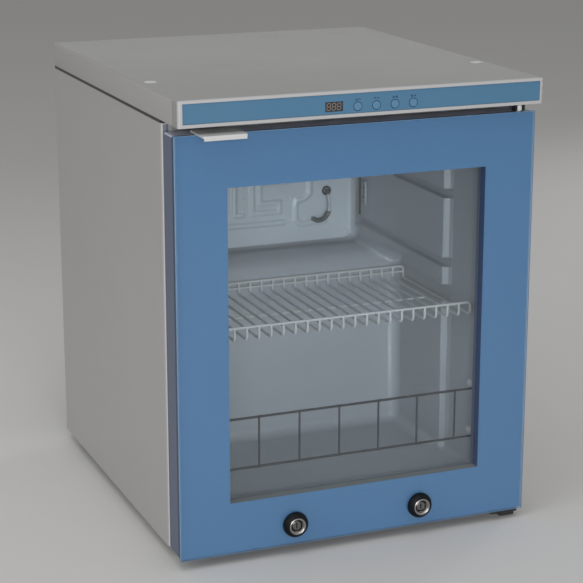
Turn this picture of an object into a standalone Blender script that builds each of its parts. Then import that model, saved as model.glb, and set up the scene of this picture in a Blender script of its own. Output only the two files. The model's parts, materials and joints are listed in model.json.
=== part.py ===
"""Warming cabinet with a double-glazed door, a top control fascia and a compressor bay.

Metres, +Z up, the door faces -Y. The origin is on the floor, under the middle of the
bounding box. Depths named d_... are counted back from the front face of the door glass.
"""
import math

import bmesh
import bpy
from mathutils import Matrix, Vector

# Overall sizes
CABINET_WIDTH = 0.430
BODY_INSET = 0.001
BODY_BACK = 0.478
FLOOR_GAP = 0.013
DOOR_HEIGHT = 0.480
DOOR_UNDER_BODY = 0.001
DOOR_TOP_GAP = 0.0105
COVER_HEIGHT = 0.029
COVER_BACK_INSET = 0.002
SHEET = 0.0008
FIT = 0.0003

# Body shell
FLANGE_DEPTH = 0.045
FLANGE_WIDTH = 0.013
FLANGE_RADIUS = 0.005
REAR_RADIUS = 0.0012
REAR_FLANGE = 0.012
RAIL_HEIGHT = 0.032
RAIL_LIP = 0.010
PAN_SHEET = 0.0012

# Liner and foam
LINER_WALL = 0.002
SIDE_WALL = 0.028
PAD_RAISE = 0.010
PAD_START = 0.105
CAVITY_BACK = 0.408
HUMP_FRONT = 0.274
HUMP_HEIGHT = 0.214
FLOOR_WALL = 0.029
CEILING_WALL = 0.040
SILL_RISE = 0.020
SILL_RUN = 0.022
CORNER_RADIUS = 0.014
FRONT_RADIUS = 0.008
GROOVE_HEIGHT = 0.012
MIDDLE_GROOVE_ABOVE_FLOOR = 0.236
UPPER_GROOVE_ABOVE_FLOOR = 0.322
GROOVE_END_WALL = 0.006
BAY_WALL = 0.030
BAY_SIDE_WALL = 0.012

# Door
GLASS = 0.004
EDGE_CHAMFER = 0.0008
BORDER = 0.060
PRINT = 0.0006
SPACER_WIDTH = 0.009
SPACER_DEPTH = 0.0115
INNER_GLASS_LAP = 0.014
FRAME_INSET = 0.001
FRAME_BACK = 0.036
FRAME_LIP = 0.008
GASKET_WIDTH = 0.014
GASKET_LAP = 0.001
TAB_WIDTH = 0.050
TAB_THICK = 0.0025
TAB_REACH = 0.025
TAB_ON_DOOR = 0.020
TAB_LIP = 0.0055
TAB_FROM_EDGE = 0.024
TAB_CORNER = 0.003

# Locks
LOCK_SPREAD = 0.156
LOCK_HEIGHT = 0.025
LOCK_BARREL_R = 0.0080
LOCK_HEAD_R = 0.0148
LOCK_HEAD_DEPTH = 0.0085
LOCK_HEAD_ROUND = 0.0025
LOCK_PLUG_R = 0.0058
LOCK_PLUG_SINK = 0.0012
LOCK_HEAD_MOUTH_R = 0.0082
LOCK_MOUTH_DEPTH = 0.0028
LOCK_SPINDLE = 0.0040
LOCK_CAM_LENGTH = 0.018
LOCK_CAM_WIDTH = 0.009
LOCK_CAM_THICK = 0.0016
LOCK_CAM_GAP = 0.0012
LOCK_SLOT_SWING = 0.005
LOCK_SLOT_SPARE = 0.002
LOCK_NUT_THICK = 0.003
LOCK_NUT_R = 0.0104
KEY_SLOT_WIDTH = 0.0012
KEY_SLOT_LENGTH = 0.0068
KEY_SLOT_DEPTH = 0.004

# Hinges
HINGE_INSET = 0.016
HINGE_DEPTH = 0.012
PIN_R = 0.0030
PIN_CLEARANCE = 0.00035
PIN_IN_DOOR = 0.018
BUSH_R = 0.0055
BUSH_FLANGE_R = 0.0080
BUSH_FLANGE = 0.0014
BRACKET_THICK = 0.0025
BRACKET_IN = 0.024
BRACKET_OUT = 0.013
BRACKET_REACH = 0.008
BRACKET_ON_BODY = 0.040
BRACKET_CORNER = 0.004
HINGE_STEP_DROP = 0.0045
HINGE_STEP_IN = 0.010
HINGE_STEP_OUT = 0.009

# Top fascia
FASCIA_REACH = 0.014
FASCIA_DEPTH = 0.029
FASCIA_RIM = 0.0035
FASCIA_WALL = 0.0020
COVER_WALL = 0.003
COVER_CORNER = 0.0045
COVER_EDGE = 0.0022
STRIP_LEFT = 0.0050
STRIP_RIGHT = 0.0035
STRIP_BOTTOM = 0.0036
STRIP_TOP = 0.0034
STRIP_SINK = 0.0008
STRIP_THICK = 0.0020
STRIP_LEDGE = 0.0020
DISPLAY_FROM_LEFT = 0.1661
DISPLAY_WIDTH = 0.0205
DISPLAY_HEIGHT = 0.0106
DISPLAY_BOTTOM = 0.0069
WINDOW_THICK = 0.0012
MODULE_DEPTH = 0.0060
BUTTON_FIRST = 0.2041
BUTTON_PITCH = 0.0220
BUTTON_COUNT = 4
BUTTON_CENTRE = 0.0110
BUTTON_R = 0.0048
BUTTON_CLEARANCE = 0.0004
BUTTON_PROUD = 0.0006
BUTTON_FLANGE_R = 0.0062
BUTTON_FLANGE = 0.0010
BUTTON_STEM = 0.0020
BUTTON_TRAVEL = 0.0008
BOARD_THICK = 0.0016
BOARD_MARGIN = 0.012
BOARD_HEIGHT = 0.018
SWITCH_SIZE = 0.0060
RELAY_FROM_END = 0.020
RELAY_WIDTH = 0.014
RELAY_HEIGHT = 0.008
RELAY_DEPTH = 0.004
CAPACITOR_FROM_END = 0.030
CAPACITOR_R = 0.004
CAPACITOR_LENGTH = 0.008
CAP_INSET = 0.014
CAP_DEPTH = 0.120
CAP_R = 0.0072
CAP_PROUD = 0.0006
CAP_THICK = 0.0020
BOSS_HALF = 0.0092

# Shelf, guard and plate
WIRE_R = 0.0015
SHELF_PITCH = 0.015
SHELF_SIDE_GAP = 0.006
SHELF_END_GAP = 0.010
SHELF_FRONT = 0.082
SHELF_REAR_GAP = 0.006
SHELF_LIP = 0.015
SHELF_BEND = 0.004
SHELF_ABOVE_FLOOR = 0.194
GUARD_PITCH = 0.050
GUARD_END_GAP = 0.020
GUARD_DEPTH = 0.058
GUARD_LOW = 0.049
GUARD_RISE = 0.060
GUARD_BAR_R = 0.0012
CLIP_DEPTH = 0.009
CLIP_REACH = 0.0045
CLIP_HEIGHT = 0.010
PLATE_STANDOFF = 0.010
PLATE_THICK = 0.0012
PLATE_SIDE_GAP = 0.012
PLATE_ABOVE_HUMP = 0.006
PLATE_UNDER_CEILING = 0.012
CHANNEL_R = 0.0022
BOSS_R = 0.006
FOIL_THICK = 0.0006
FOIL_WIDTH = 0.150
FOIL_HEIGHT = 0.100
PROBE_R = 0.0024
GROMMET_R = 0.0065

# Compressor bay
COMPRESSOR_R = 0.060
COMPRESSOR_HEIGHT = 0.128
COMPRESSOR_SQUASH = 0.80
COMPRESSOR_X = -0.060
COMPRESSOR_LIFT = 0.012
BASE_THICK = 0.0015
TUBE_R = 0.0032
DRIER_R = 0.0095
DRIER_LENGTH = 0.100
DRIER_FROM_STARTER = 0.029
DRIER_LIFT = 0.020
STARTER_WIDTH = 0.026
STARTER_DEPTH = 0.044
STARTER_HEIGHT = 0.055
STARTER_LIFT = 0.030
STARTER_ROUND = 0.004
TUBE_FROM_SIDE = 0.024
TUBE_DROP_BACK = 0.020
LOUVRE_ROWS = 9
LOUVRE_COLUMNS = 3
LOUVRE_PITCH = 0.018
LOUVRE_HEIGHT = 0.005
LOUVRE_WIDTH = 0.090
LOUVRE_SPAN = 0.115
INLET_WIDTH = 0.028
INLET_HEIGHT = 0.020
INLET_DEPTH = 0.022

# Feet
FOOT_R = 0.013
FOOT_PAD = 0.007
FOOT_STUD_R = 0.003
FOOT_INSET_X = 0.030
FOOT_FRONT = 0.105
FOOT_REAR = 0.060
STUD_IN_PAN = 0.008

# Places worked out from the sizes
HALF = CABINET_WIDTH / 2
BODY_HALF = HALF - BODY_INSET
FRONT_Y = (TAB_REACH - BODY_BACK) / 2
BODY_BOTTOM = FLOOR_GAP
DOOR_BOTTOM = BODY_BOTTOM - DOOR_UNDER_BODY
DOOR_TOP = DOOR_BOTTOM + DOOR_HEIGHT
COVER_BOTTOM = DOOR_TOP + DOOR_TOP_GAP
COVER_TOP = COVER_BOTTOM + COVER_HEIGHT
PAN_TOP = BODY_BOTTOM + PAN_SHEET
PANEL_TOP = COVER_BOTTOM - FIT
BRACKET_TOP = COVER_BOTTOM - FIT
DECK_TOP = BRACKET_TOP - BRACKET_THICK - FIT
CAVITY_FLOOR = BODY_BOTTOM + FLOOR_WALL
CAVITY_TOP = DECK_TOP - CEILING_WALL
HUMP_TOP = CAVITY_FLOOR + HUMP_HEIGHT
MOUTH_BOTTOM = CAVITY_FLOOR + SILL_RISE
MOUTH_HALF = BODY_HALF - SIDE_WALL
PAD_HALF = MOUTH_HALF - PAD_RAISE
D_PAD = FLANGE_DEPTH + PAD_START
GASKET_OUT = MOUTH_HALF + GASKET_LAP + GASKET_WIDTH
SHELF_LOW = CAVITY_FLOOR + SHELF_ABOVE_FLOOR
SHELF_HIGH = SHELF_LOW + SHELF_LIP
SHELF_HALF = MOUTH_HALF - SHELF_SIDE_GAP
SHELF_BARS = 2 * int((SHELF_HALF - SHELF_END_GAP) / SHELF_PITCH) + 1
D_SHELF_REAR = HUMP_FRONT - SHELF_REAR_GAP
BAY_TOP = HUMP_TOP - LINER_WALL - BAY_WALL
D_BAY = HUMP_FRONT + LINER_WALL + BAY_WALL
D_BACK_PANEL = BODY_BACK - SHEET - FIT - SHEET
HINGE_X = HALF - HINGE_INSET
LOCK_Z = DOOR_BOTTOM + LOCK_HEIGHT
D_GLASS_BACK = GLASS
D_PRINT_BACK = GLASS + FIT + PRINT
D_SPACER = D_PRINT_BACK + FIT
D_INNER_GLASS = D_SPACER + SPACER_DEPTH + FIT
WINDOW_HALF = HALF - BORDER
WINDOW_LOW = DOOR_BOTTOM + BORDER
WINDOW_HIGH = DOOR_TOP - BORDER
D_STRIP = -FASCIA_REACH + STRIP_SINK
STRIP_X0 = -HALF + STRIP_LEFT
STRIP_X1 = HALF - STRIP_RIGHT
STRIP_Z0 = COVER_BOTTOM + STRIP_BOTTOM
STRIP_Z1 = COVER_TOP - STRIP_TOP
D_LEDGE = D_STRIP + STRIP_THICK + FIT
D_CAM = FLANGE_DEPTH + PAN_SHEET + LOCK_CAM_GAP
BUTTON_Z = COVER_BOTTOM + BUTTON_CENTRE
D_PLATE = CAVITY_BACK - PLATE_STANDOFF


def y_at(depth):
    return FRONT_Y + depth


def clear_scene():
    for obj in list(bpy.data.objects):
        bpy.data.objects.remove(obj, do_unlink=True)
    for coll in list(bpy.data.collections):
        bpy.data.collections.remove(coll)


def new_collection(name):
    coll = bpy.data.collections.new(name)
    bpy.context.scene.collection.children.link(coll)
    return coll


clear_scene()
PARTS = new_collection("warming_cabinet")
CUTTERS = new_collection("cutters")


def material(name, color, roughness, metallic=0.0, alpha=1.0):
    mat = bpy.data.materials.new(name)
    mat.use_nodes = True
    shader = mat.node_tree.nodes["Principled BSDF"]
    shader.inputs["Base Color"].default_value = (*color, 1.0)
    shader.inputs["Roughness"].default_value = roughness
    shader.inputs["Metallic"].default_value = metallic
    shader.inputs["Alpha"].default_value = alpha
    mat.diffuse_color = (*color, alpha)
    return mat


PAINT = dict(color=(0.72, 0.71, 0.70), roughness=0.25)
WHITE = dict(color=(0.78, 0.78, 0.76), roughness=0.35)
LINER = dict(color=(0.74, 0.77, 0.79), roughness=0.40)
STEEL = dict(color=(0.55, 0.55, 0.56), roughness=0.30, metallic=1.0)
ZINC = dict(color=(0.50, 0.51, 0.52), roughness=0.45, metallic=1.0)
CHROME = dict(color=(0.70, 0.70, 0.70), roughness=0.12, metallic=1.0)
BLACK = dict(color=(0.015, 0.015, 0.018), roughness=0.35)
RUBBER = dict(color=(0.03, 0.03, 0.03), roughness=0.75)
GREY = dict(color=(0.20, 0.21, 0.22), roughness=0.55)
BLUE = dict(color=(0.09, 0.19, 0.34), roughness=0.20)


def finish(obj, name, look, coll=None):
    """Name the object, give it its own material and put it in its collection."""
    obj.name = name
    obj.data.name = name
    for old in list(obj.users_collection):
        old.objects.unlink(obj)
    (coll or PARTS).objects.link(obj)
    obj.data.materials.clear()
    obj.data.materials.append(material(name, **look))
    obj.data.shade_smooth()
    obj.data.set_sharp_from_angle(angle=math.radians(35))
    return obj


def as_cutter(obj):
    """A helper solid: seen as wire, left out of the render."""
    for old in list(obj.users_collection):
        old.objects.unlink(obj)
    CUTTERS.objects.link(obj)
    obj.hide_render = True
    obj.display_type = "WIRE"
    return obj


def mesh_object(bm, origin=(0, 0, 0)):
    """Turn a bmesh built in world space into an object with its origin at origin."""
    bmesh.ops.recalc_face_normals(bm, faces=bm.faces)
    bmesh.ops.translate(bm, verts=bm.verts, vec=-Vector(origin))
    mesh = bpy.data.meshes.new("shape")
    bm.to_mesh(mesh)
    bm.free()
    obj = bpy.data.objects.new("shape", mesh)
    obj.location = origin
    CUTTERS.objects.link(obj)
    return obj


def box_mesh(low, high):
    bm = bmesh.new()
    size = [b - a for a, b in zip(low, high)]
    middle = [(a + b) / 2 for a, b in zip(low, high)]
    place = Matrix.Translation(middle) @ Matrix.Diagonal((*size, 1.0))
    bmesh.ops.create_cube(bm, size=1.0, matrix=place)
    return bm


def bevel_edges(bm, radius, segments, keep):
    edges = [e for e in bm.edges if keep(e.verts[0].co, e.verts[1].co)]
    bmesh.ops.bevel(bm, geom=edges, offset=radius, segments=segments, profile=0.5,
                    affect="EDGES", clamp_overlap=True)


def along(axis):
    """An edge filter that keeps the edges running along one axis."""
    others = [i for i in range(3) if i != axis]
    return lambda a, b: all(abs(a[i] - b[i]) < 1e-7 for i in others)


def box(low, high, radius=0.0, segments=2, keep=None, origin=(0, 0, 0)):
    """A box between two corners given as (x, depth, z), its edges rounded if asked."""
    low_w = (low[0], y_at(low[1]), low[2])
    high_w = (high[0], y_at(high[1]), high[2])
    bm = box_mesh(low_w, high_w)
    if radius:
        bevel_edges(bm, radius, segments, keep or (lambda a, b: True))
    return mesh_object(bm, origin)


def rod(centre, radius, length, axis, sides=24, origin=(0, 0, 0), chamfer=0.0, squash=1.0):
    """A cylinder that starts at centre (x, depth, z) and runs along +axis (0, 1 or 2)."""
    bm = bmesh.new()
    bmesh.ops.create_cone(bm, cap_ends=True, segments=sides, radius1=radius, radius2=radius,
                          depth=length)
    bmesh.ops.scale(bm, vec=(1.0, squash, 1.0), verts=bm.verts)
    if chamfer:
        rims = lambda a, b: abs(a.z - b.z) < 1e-7
        bevel_edges(bm, chamfer, 1, rims)
    turns = {0: Matrix.Rotation(math.pi / 2, 4, "Y"),
             1: Matrix.Rotation(-math.pi / 2, 4, "X"),
             2: Matrix.Identity(4)}
    middle = Vector((centre[0], y_at(centre[1]), centre[2]))
    middle[axis] += length / 2
    bmesh.ops.transform(bm, matrix=Matrix.Translation(middle) @ turns[axis], verts=bm.verts)
    return mesh_object(bm, origin)


def combine(target, other, operation):
    modifier = target.modifiers.new(operation.lower(), "BOOLEAN")
    modifier.operation = operation
    modifier.solver = "EXACT"
    modifier.object = as_cutter(other)
    return target


def cut(target, *others):
    for other in others:
        combine(target, other, "DIFFERENCE")
    return target


def join(target, *others):
    for other in others:
        combine(target, other, "UNION")
    return target


def merged(objects):
    """One helper object out of several that don't touch each other."""
    bm = bmesh.new()
    for obj in objects:
        mesh = obj.data.copy()
        mesh.transform(Matrix.Translation(obj.location))
        bm.from_mesh(mesh)
        bpy.data.meshes.remove(mesh)
        bpy.data.objects.remove(obj, do_unlink=True)
    return mesh_object(bm)


def ring(outer, inner, depth, origin=(0, 0, 0), radius=0.0):
    """A flat upright frame between two depths. outer and inner are (half width, low, high)."""
    frame = box((-outer[0], depth[0], outer[1]), (outer[0], depth[1], outer[2]),
                radius, 2, along(1) if radius else None, origin)
    spare = 0.01
    hole = box((-inner[0], depth[0] - spare, inner[1]), (inner[0], depth[1] + spare, inner[2]))
    return cut(frame, hole)


def rounded_path(points, radius, steps):
    """Round the corners of an open 2D path with arcs, one radius or one for each corner."""
    path = [Vector(points[0])]
    radii = radius if isinstance(radius, tuple) else (radius,) * (len(points) - 2)
    for i in range(1, len(points) - 1):
        radius = radii[i - 1]
        before, corner, after = (Vector(points[i + k]) for k in (-1, 0, 1))
        to_before = (before - corner).normalized()
        to_after = (after - corner).normalized()
        half_angle = to_before.angle(to_after) / 2
        reach = radius / math.tan(half_angle)
        start = corner + to_before * reach
        end = corner + to_after * reach
        middle = corner + (to_before + to_after).normalized() * radius / math.sin(half_angle)
        for k in range(steps + 1):
            blend = (start - middle).lerp(end - middle, k / steps).normalized()
            path.append(middle + blend * radius)
    path.append(Vector(points[-1]))
    return path


def folded_sheet(points, plane, low, high, thickness, radius=0.0, steps=3):
    """A sheet bent along a path and run from low to high square to it.

    plane "xd" bends in plan and rises in Z, plane "dz" bends in side view and runs in X.
    The path is the sheet's outer side.
    """
    path = rounded_path(points, radius, steps) if radius else [Vector(p) for p in points]
    bm = bmesh.new()
    rows = []
    for level in (low, high):
        if plane == "xd":
            row = [bm.verts.new((p[0], y_at(p[1]), level)) for p in path]
        else:
            row = [bm.verts.new((level, y_at(p[0]), p[1])) for p in path]
        rows.append(row)
    for a, b, c, d in zip(rows[0], rows[0][1:], rows[1][1:], rows[1]):
        bm.faces.new((a, b, c, d))
    mesh = bpy.data.meshes.new("sheet")
    bm.to_mesh(mesh)
    bm.free()
    obj = bpy.data.objects.new("sheet", mesh)
    CUTTERS.objects.link(obj)
    shell = obj.modifiers.new("thickness", "SOLIDIFY")
    shell.thickness = thickness
    shell.offset = 1.0
    shell.use_even_offset = True
    return obj


def smooth_points(points, steps):
    """Points on a Catmull-Rom curve through the given ones."""
    knots = [Vector(p) for p in points]
    knots = [knots[0] * 2 - knots[1]] + knots + [knots[-1] * 2 - knots[-2]]
    out = []
    for p0, p1, p2, p3 in zip(knots, knots[1:], knots[2:], knots[3:]):
        for k in range(steps):
            t = k / steps
            out.append(0.5 * ((2 * p1) + (p2 - p0) * t + (2 * p0 - 5 * p1 + 4 * p2 - p3) * t * t
                              + (3 * p1 - p0 - 3 * p2 + p3) * t ** 3))
    out.append(knots[-2])
    return out


def wire(points, radius, resolution=1, closed=False):
    """A round wire through points given as (x, depth, z), with filled ends."""
    curve = bpy.data.curves.new("wire", "CURVE")
    curve.dimensions = "3D"
    curve.bevel_depth = radius
    curve.bevel_resolution = resolution
    curve.use_fill_caps = not closed
    spline = curve.splines.new("POLY")
    spline.points.add(len(points) - 1)
    for point, target in zip(spline.points, points):
        point.co = (target[0], y_at(target[1]), target[2], 1.0)
    spline.use_cyclic_u = closed
    source = bpy.data.objects.new("wire", curve)
    CUTTERS.objects.link(source)
    bpy.context.view_layer.update()
    graph = bpy.context.evaluated_depsgraph_get()
    mesh = bpy.data.meshes.new_from_object(source.evaluated_get(graph))
    obj = bpy.data.objects.new("wire", mesh)
    obj.matrix_world = source.matrix_world
    CUTTERS.objects.link(obj)
    bpy.data.objects.remove(source, do_unlink=True)
    bm = bmesh.new()
    bm.from_mesh(mesh)
    bmesh.ops.remove_doubles(bm, verts=bm.verts, dist=1e-6)
    bmesh.ops.recalc_face_normals(bm, faces=bm.faces)
    bm.to_mesh(mesh)
    bm.free()
    return obj


def turned(profile, centre, axis, sides=32, origin=(0, 0, 0)):
    """A turned piece: profile holds (radius, height) from top to bottom on its outer side."""
    bm = bmesh.new()
    verts = [bm.verts.new((r, 0.0, h)) for r, h in profile]
    for a, b in zip(verts, verts[1:]):
        bm.edges.new((a, b))
    bmesh.ops.spin(bm, geom=bm.verts[:] + bm.edges[:], cent=(0, 0, 0), axis=(0, 0, 1),
                   angle=2 * math.pi, steps=sides, use_merge=True)
    bmesh.ops.remove_doubles(bm, verts=bm.verts, dist=1e-6)
    if axis == 1:
        bmesh.ops.rotate(bm, verts=bm.verts, cent=(0, 0, 0),
                         matrix=Matrix.Rotation(math.pi / 2, 3, "X"))
    bmesh.ops.translate(bm, verts=bm.verts, vec=(centre[0], y_at(centre[1]), centre[2]))
    return mesh_object(bm, origin)


def pivot(name, place, parent=None):
    """An empty that marks a joint's axis; the moving pieces hang from it."""
    empty = bpy.data.objects.new(name, None)
    empty.empty_display_size = 0.02
    PARTS.objects.link(empty)
    empty.location = place
    if parent:
        hang(empty, parent)
    return empty


def place_of(obj):
    spot = Vector(obj.location)
    while obj.parent:
        obj = obj.parent
        spot += Vector(obj.location)
    return spot


def hang(obj, parent):
    """Parent an object and keep it where it is in the world."""
    obj.location = Vector(obj.location) - place_of(parent)
    obj.parent = parent
    return obj


def side_panel(name, side):
    x_out = side * BODY_HALF
    path = [(x_out - side * FLANGE_WIDTH, FLANGE_DEPTH), (x_out, FLANGE_DEPTH),
            (x_out, BODY_BACK), (x_out - side * REAR_FLANGE, BODY_BACK)]
    radii = (FLANGE_RADIUS, REAR_RADIUS)
    if side > 0:
        path.reverse()
        radii = (REAR_RADIUS, FLANGE_RADIUS)
    panel = folded_sheet(path, "xd", BODY_BOTTOM, PANEL_TOP, SHEET, radii)
    if side > 0:
        x0 = HINGE_X - BRACKET_IN - FIT
        x1 = HINGE_X + BRACKET_OUT + FIT
        cut(panel, box((x0, FLANGE_DEPTH - 0.005, DECK_TOP), (x1, FLANGE_DEPTH + 0.008,
                                                             PANEL_TOP + 0.01)))
    return finish(panel, name, PAINT)


def front_upright(a, b):
    """Upright edges on the front half, which clear the side panels' rounded fronts."""
    return along(2)(a, b) and a.y < 0


def base_pan():
    inner = BODY_HALF - SHEET - FIT
    pan = box((-inner, FLANGE_DEPTH + SHEET + FIT, BODY_BOTTOM),
              (inner, D_BACK_PANEL - FIT, PAN_TOP), FLANGE_RADIUS, 3, front_upright)
    for x, d in foot_places():
        cut(pan, rod((x, d, BODY_BOTTOM - 0.01), FOOT_STUD_R + FIT, 0.03, 2, 16))
    return finish(pan, "base_pan", ZINC)


def lock_x(side):
    return side * LOCK_SPREAD / 2


def front_rail():
    """C-shaped rail under the mouth; the lock cams reach through its two slots."""
    low = PAN_TOP + FIT
    high = low + RAIL_HEIGHT
    back = FLANGE_DEPTH + RAIL_LIP
    half = BODY_HALF - FLANGE_WIDTH - FIT
    path = [(back, low), (FLANGE_DEPTH, low), (FLANGE_DEPTH, high), (back, high)]
    rail = folded_sheet(path, "dz", -half, half, PAN_SHEET)
    for side in (-1, 1):
        x = lock_x(side)
        half_z = LOCK_CAM_WIDTH / 2 + LOCK_SLOT_SPARE
        left = x - LOCK_CAM_LENGTH - LOCK_SLOT_SWING
        cut(rail, box((left, FLANGE_DEPTH - 0.01, LOCK_Z - half_z),
                      (x + half_z + LOCK_SLOT_SPARE, FLANGE_DEPTH + 0.005, LOCK_Z + half_z)))
    return finish(rail, "front_lower_rail", PAINT)


def top_panel():
    """Deck under the top cover, folded down at the front above the mouth."""
    half = BODY_HALF - FLANGE_WIDTH - FIT
    low = CAVITY_TOP + GASKET_LAP + GASKET_WIDTH + FIT
    path = [(FLANGE_DEPTH, low), (FLANGE_DEPTH, DECK_TOP), (D_BACK_PANEL - FIT, DECK_TOP)]
    panel = folded_sheet(path, "dz", -half, half, PAN_SHEET)
    return finish(panel, "top_panel", ZINC)


def back_panel():
    half = BODY_HALF - SHEET - FIT
    panel = box((-half, D_BACK_PANEL, BAY_TOP + FIT), (half, D_BACK_PANEL + SHEET, PANEL_TOP))
    return finish(panel, "back_panel", ZINC)


def compressor_cover():
    half = BODY_HALF - SHEET - FIT
    cover = box((-half, D_BACK_PANEL, PAN_TOP + FIT), (half, D_BACK_PANEL + SHEET, BAY_TOP))
    slots = []
    low = PAN_TOP + 0.030
    for column in range(LOUVRE_COLUMNS):
        x = (column - (LOUVRE_COLUMNS - 1) / 2) * LOUVRE_SPAN
        for row in range(LOUVRE_ROWS):
            z = low + row * LOUVRE_PITCH
            if z + LOUVRE_HEIGHT < BAY_TOP - 0.008 and not hits_inlet(x, z):
                slots.append(box((x - LOUVRE_WIDTH / 2, D_BACK_PANEL - 0.01, z),
                                 (x + LOUVRE_WIDTH / 2, D_BACK_PANEL + 0.01, z + LOUVRE_HEIGHT)))
    x, z = inlet_place()
    slots.append(box((x - INLET_WIDTH / 2, D_BACK_PANEL - 0.01, z - INLET_HEIGHT / 2),
                     (x + INLET_WIDTH / 2, D_BACK_PANEL + 0.01, z + INLET_HEIGHT / 2)))
    return finish(cut(cover, merged(slots)), "compressor_cover", GREY)


def inlet_place():
    return LOUVRE_SPAN, PAN_TOP + 0.040


def hits_inlet(x, z):
    inlet_x, inlet_z = inlet_place()
    near_x = abs(x - inlet_x) < (LOUVRE_WIDTH + INLET_WIDTH) / 2
    near_z = abs(z + LOUVRE_HEIGHT / 2 - inlet_z) < (INLET_HEIGHT + LOUVRE_HEIGHT) / 2 + 0.004
    return near_x and near_z


def power_inlet():
    """Mains inlet body seated in the slotted cover, its pin well open to the rear."""
    x, z = inlet_place()
    half_w = INLET_WIDTH / 2 - FIT
    half_h = INLET_HEIGHT / 2 - FIT
    body = box((x - half_w, D_BACK_PANEL - INLET_DEPTH, z - half_h),
               (x + half_w, BODY_BACK - SHEET, z + half_h), 0.002, 2, along(1))
    well = box((x - half_w + 0.003, BODY_BACK - 0.016, z - half_h + 0.003),
               (x + half_w - 0.003, BODY_BACK + 0.01, z + half_h - 0.003))
    pins = [box((x + k * 0.007 - 0.001, BODY_BACK - 0.018, z - 0.002),
                (x + k * 0.007 + 0.001, BODY_BACK - 0.004, z + 0.002)) for k in (-1, 0, 1)]
    join(cut(body, well), merged(pins))
    return finish(body, "power_inlet", BLACK)


def cavity_shape(grow):
    """The space inside the liner, grown outwards by a wall for the liner's outer side."""
    floor = CAVITY_FLOOR - grow
    top = CAVITY_TOP + grow
    back = CAVITY_BACK + grow
    half = MOUTH_HALF + grow
    pad_half = PAD_HALF + grow
    front = FLANGE_DEPTH + SHEET
    radius = CORNER_RADIUS + grow
    deep = box((-pad_half, front, HUMP_TOP - grow), (pad_half, back, top))
    lower = box((-pad_half, front, floor), (pad_half, HUMP_FRONT + grow, top))
    mouth = box((-half, front, floor), (half, D_PAD + grow, top))
    # the step between the wide front and the pads is rounded by its own bevel
    parts = [round_back(obj, radius, grow) for obj in (deep, lower)]
    shape = join(round_back(mouth, FRONT_RADIUS + grow, grow), *parts)
    for low, high, d_end in grooves():
        groove = box((FIT - half, D_PAD - 0.02, low - grow), (half - FIT, d_end + grow, high + grow))
        join(shape, groove)
    sill = sill_wedge(grow, floor)
    return cut(shape, sill)


def round_back(obj, radius, grow):
    """Round every edge of a cavity block but those of its open front."""
    bm = bmesh.new()
    bm.from_mesh(obj.data)
    front = min(v.co.y for v in bm.verts)
    bevel_edges(bm, radius, 2, lambda a, b: not (abs(a.y - front) < 1e-6 and abs(b.y - front) < 1e-6))
    bm.to_mesh(obj.data)
    bm.free()
    return obj


def grooves():
    """Shelf grooves in the side walls as (low, high, end depth)."""
    shelf_low = SHELF_LOW - WIRE_R - FIT
    middle = CAVITY_FLOOR + MIDDLE_GROOVE_ABOVE_FLOOR
    upper = CAVITY_FLOOR + UPPER_GROOVE_ABOVE_FLOOR
    deep_end = CAVITY_BACK - GROOVE_END_WALL
    return [(shelf_low, SHELF_HIGH + 0.005, HUMP_FRONT - FIT),
            (middle, middle + GROOVE_HEIGHT, deep_end),
            (upper, upper + GROOVE_HEIGHT, deep_end)]


def sill_wedge(grow, floor):
    """The slope from the cavity floor up to the mouth's lower edge."""
    front = FLANGE_DEPTH - 0.01
    top = MOUTH_BOTTOM - grow
    back = FLANGE_DEPTH + SILL_RUN - grow
    level = FLANGE_DEPTH + LINER_WALL + 0.002 - grow
    path = [(front, floor - 0.01), (front, top), (level, top), (back, floor), (back, floor - 0.01)]
    bm = bmesh.new()
    half = BODY_HALF
    rows = [[bm.verts.new((x, y_at(d), z)) for d, z in path] for x in (-half, half)]
    bm.faces.new(rows[0])
    bm.faces.new(rows[1])
    for i in range(len(path)):
        j = (i + 1) % len(path)
        bm.faces.new((rows[0][i], rows[0][j], rows[1][j], rows[1][i]))
    return mesh_object(bm)


def liner():
    """Moulded liner: one wall all round, a mouth flange, plate bosses and guard hooks."""
    shell = cavity_shape(LINER_WALL)
    outer = (BODY_HALF - FLANGE_WIDTH - FIT, rail_top() + FIT,
             CAVITY_TOP + GASKET_LAP + GASKET_WIDTH)
    flange = box((-outer[0], FLANGE_DEPTH, outer[1]),
                 (outer[0], FLANGE_DEPTH + LINER_WALL, outer[2]))
    join(shell, flange)
    cut(shell, cavity_shape(0.0))
    mouth = box((-MOUTH_HALF, FLANGE_DEPTH - 0.01, MOUTH_BOTTOM),
                (MOUTH_HALF, FLANGE_DEPTH + LINER_WALL + 0.001, CAVITY_TOP),
                FRONT_RADIUS, 3, along(1))
    cut(shell, mouth)
    for x, z in boss_places():
        join(shell, rod((x, D_PLATE + PLATE_THICK + FIT, z), BOSS_R,
                        PLATE_STANDOFF - PLATE_THICK - FIT + 0.001, 1, 16))
    blocks, seats = guard_hooks()
    cut(join(shell, blocks), seats)
    return finish(shell, "inner_liner", LINER)


def rail_top():
    return PAN_TOP + FIT + RAIL_HEIGHT


def plate_box():
    half = PAD_HALF - PLATE_SIDE_GAP
    return -half, half, HUMP_TOP + PLATE_ABOVE_HUMP, CAVITY_TOP - PLATE_UNDER_CEILING


def boss_places():
    x0, x1, z0, z1 = plate_box()
    return [(x, z) for x in (x0 + 0.030, x1 - 0.030) for z in (z0 + 0.030, z1 - 0.030)]


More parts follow.
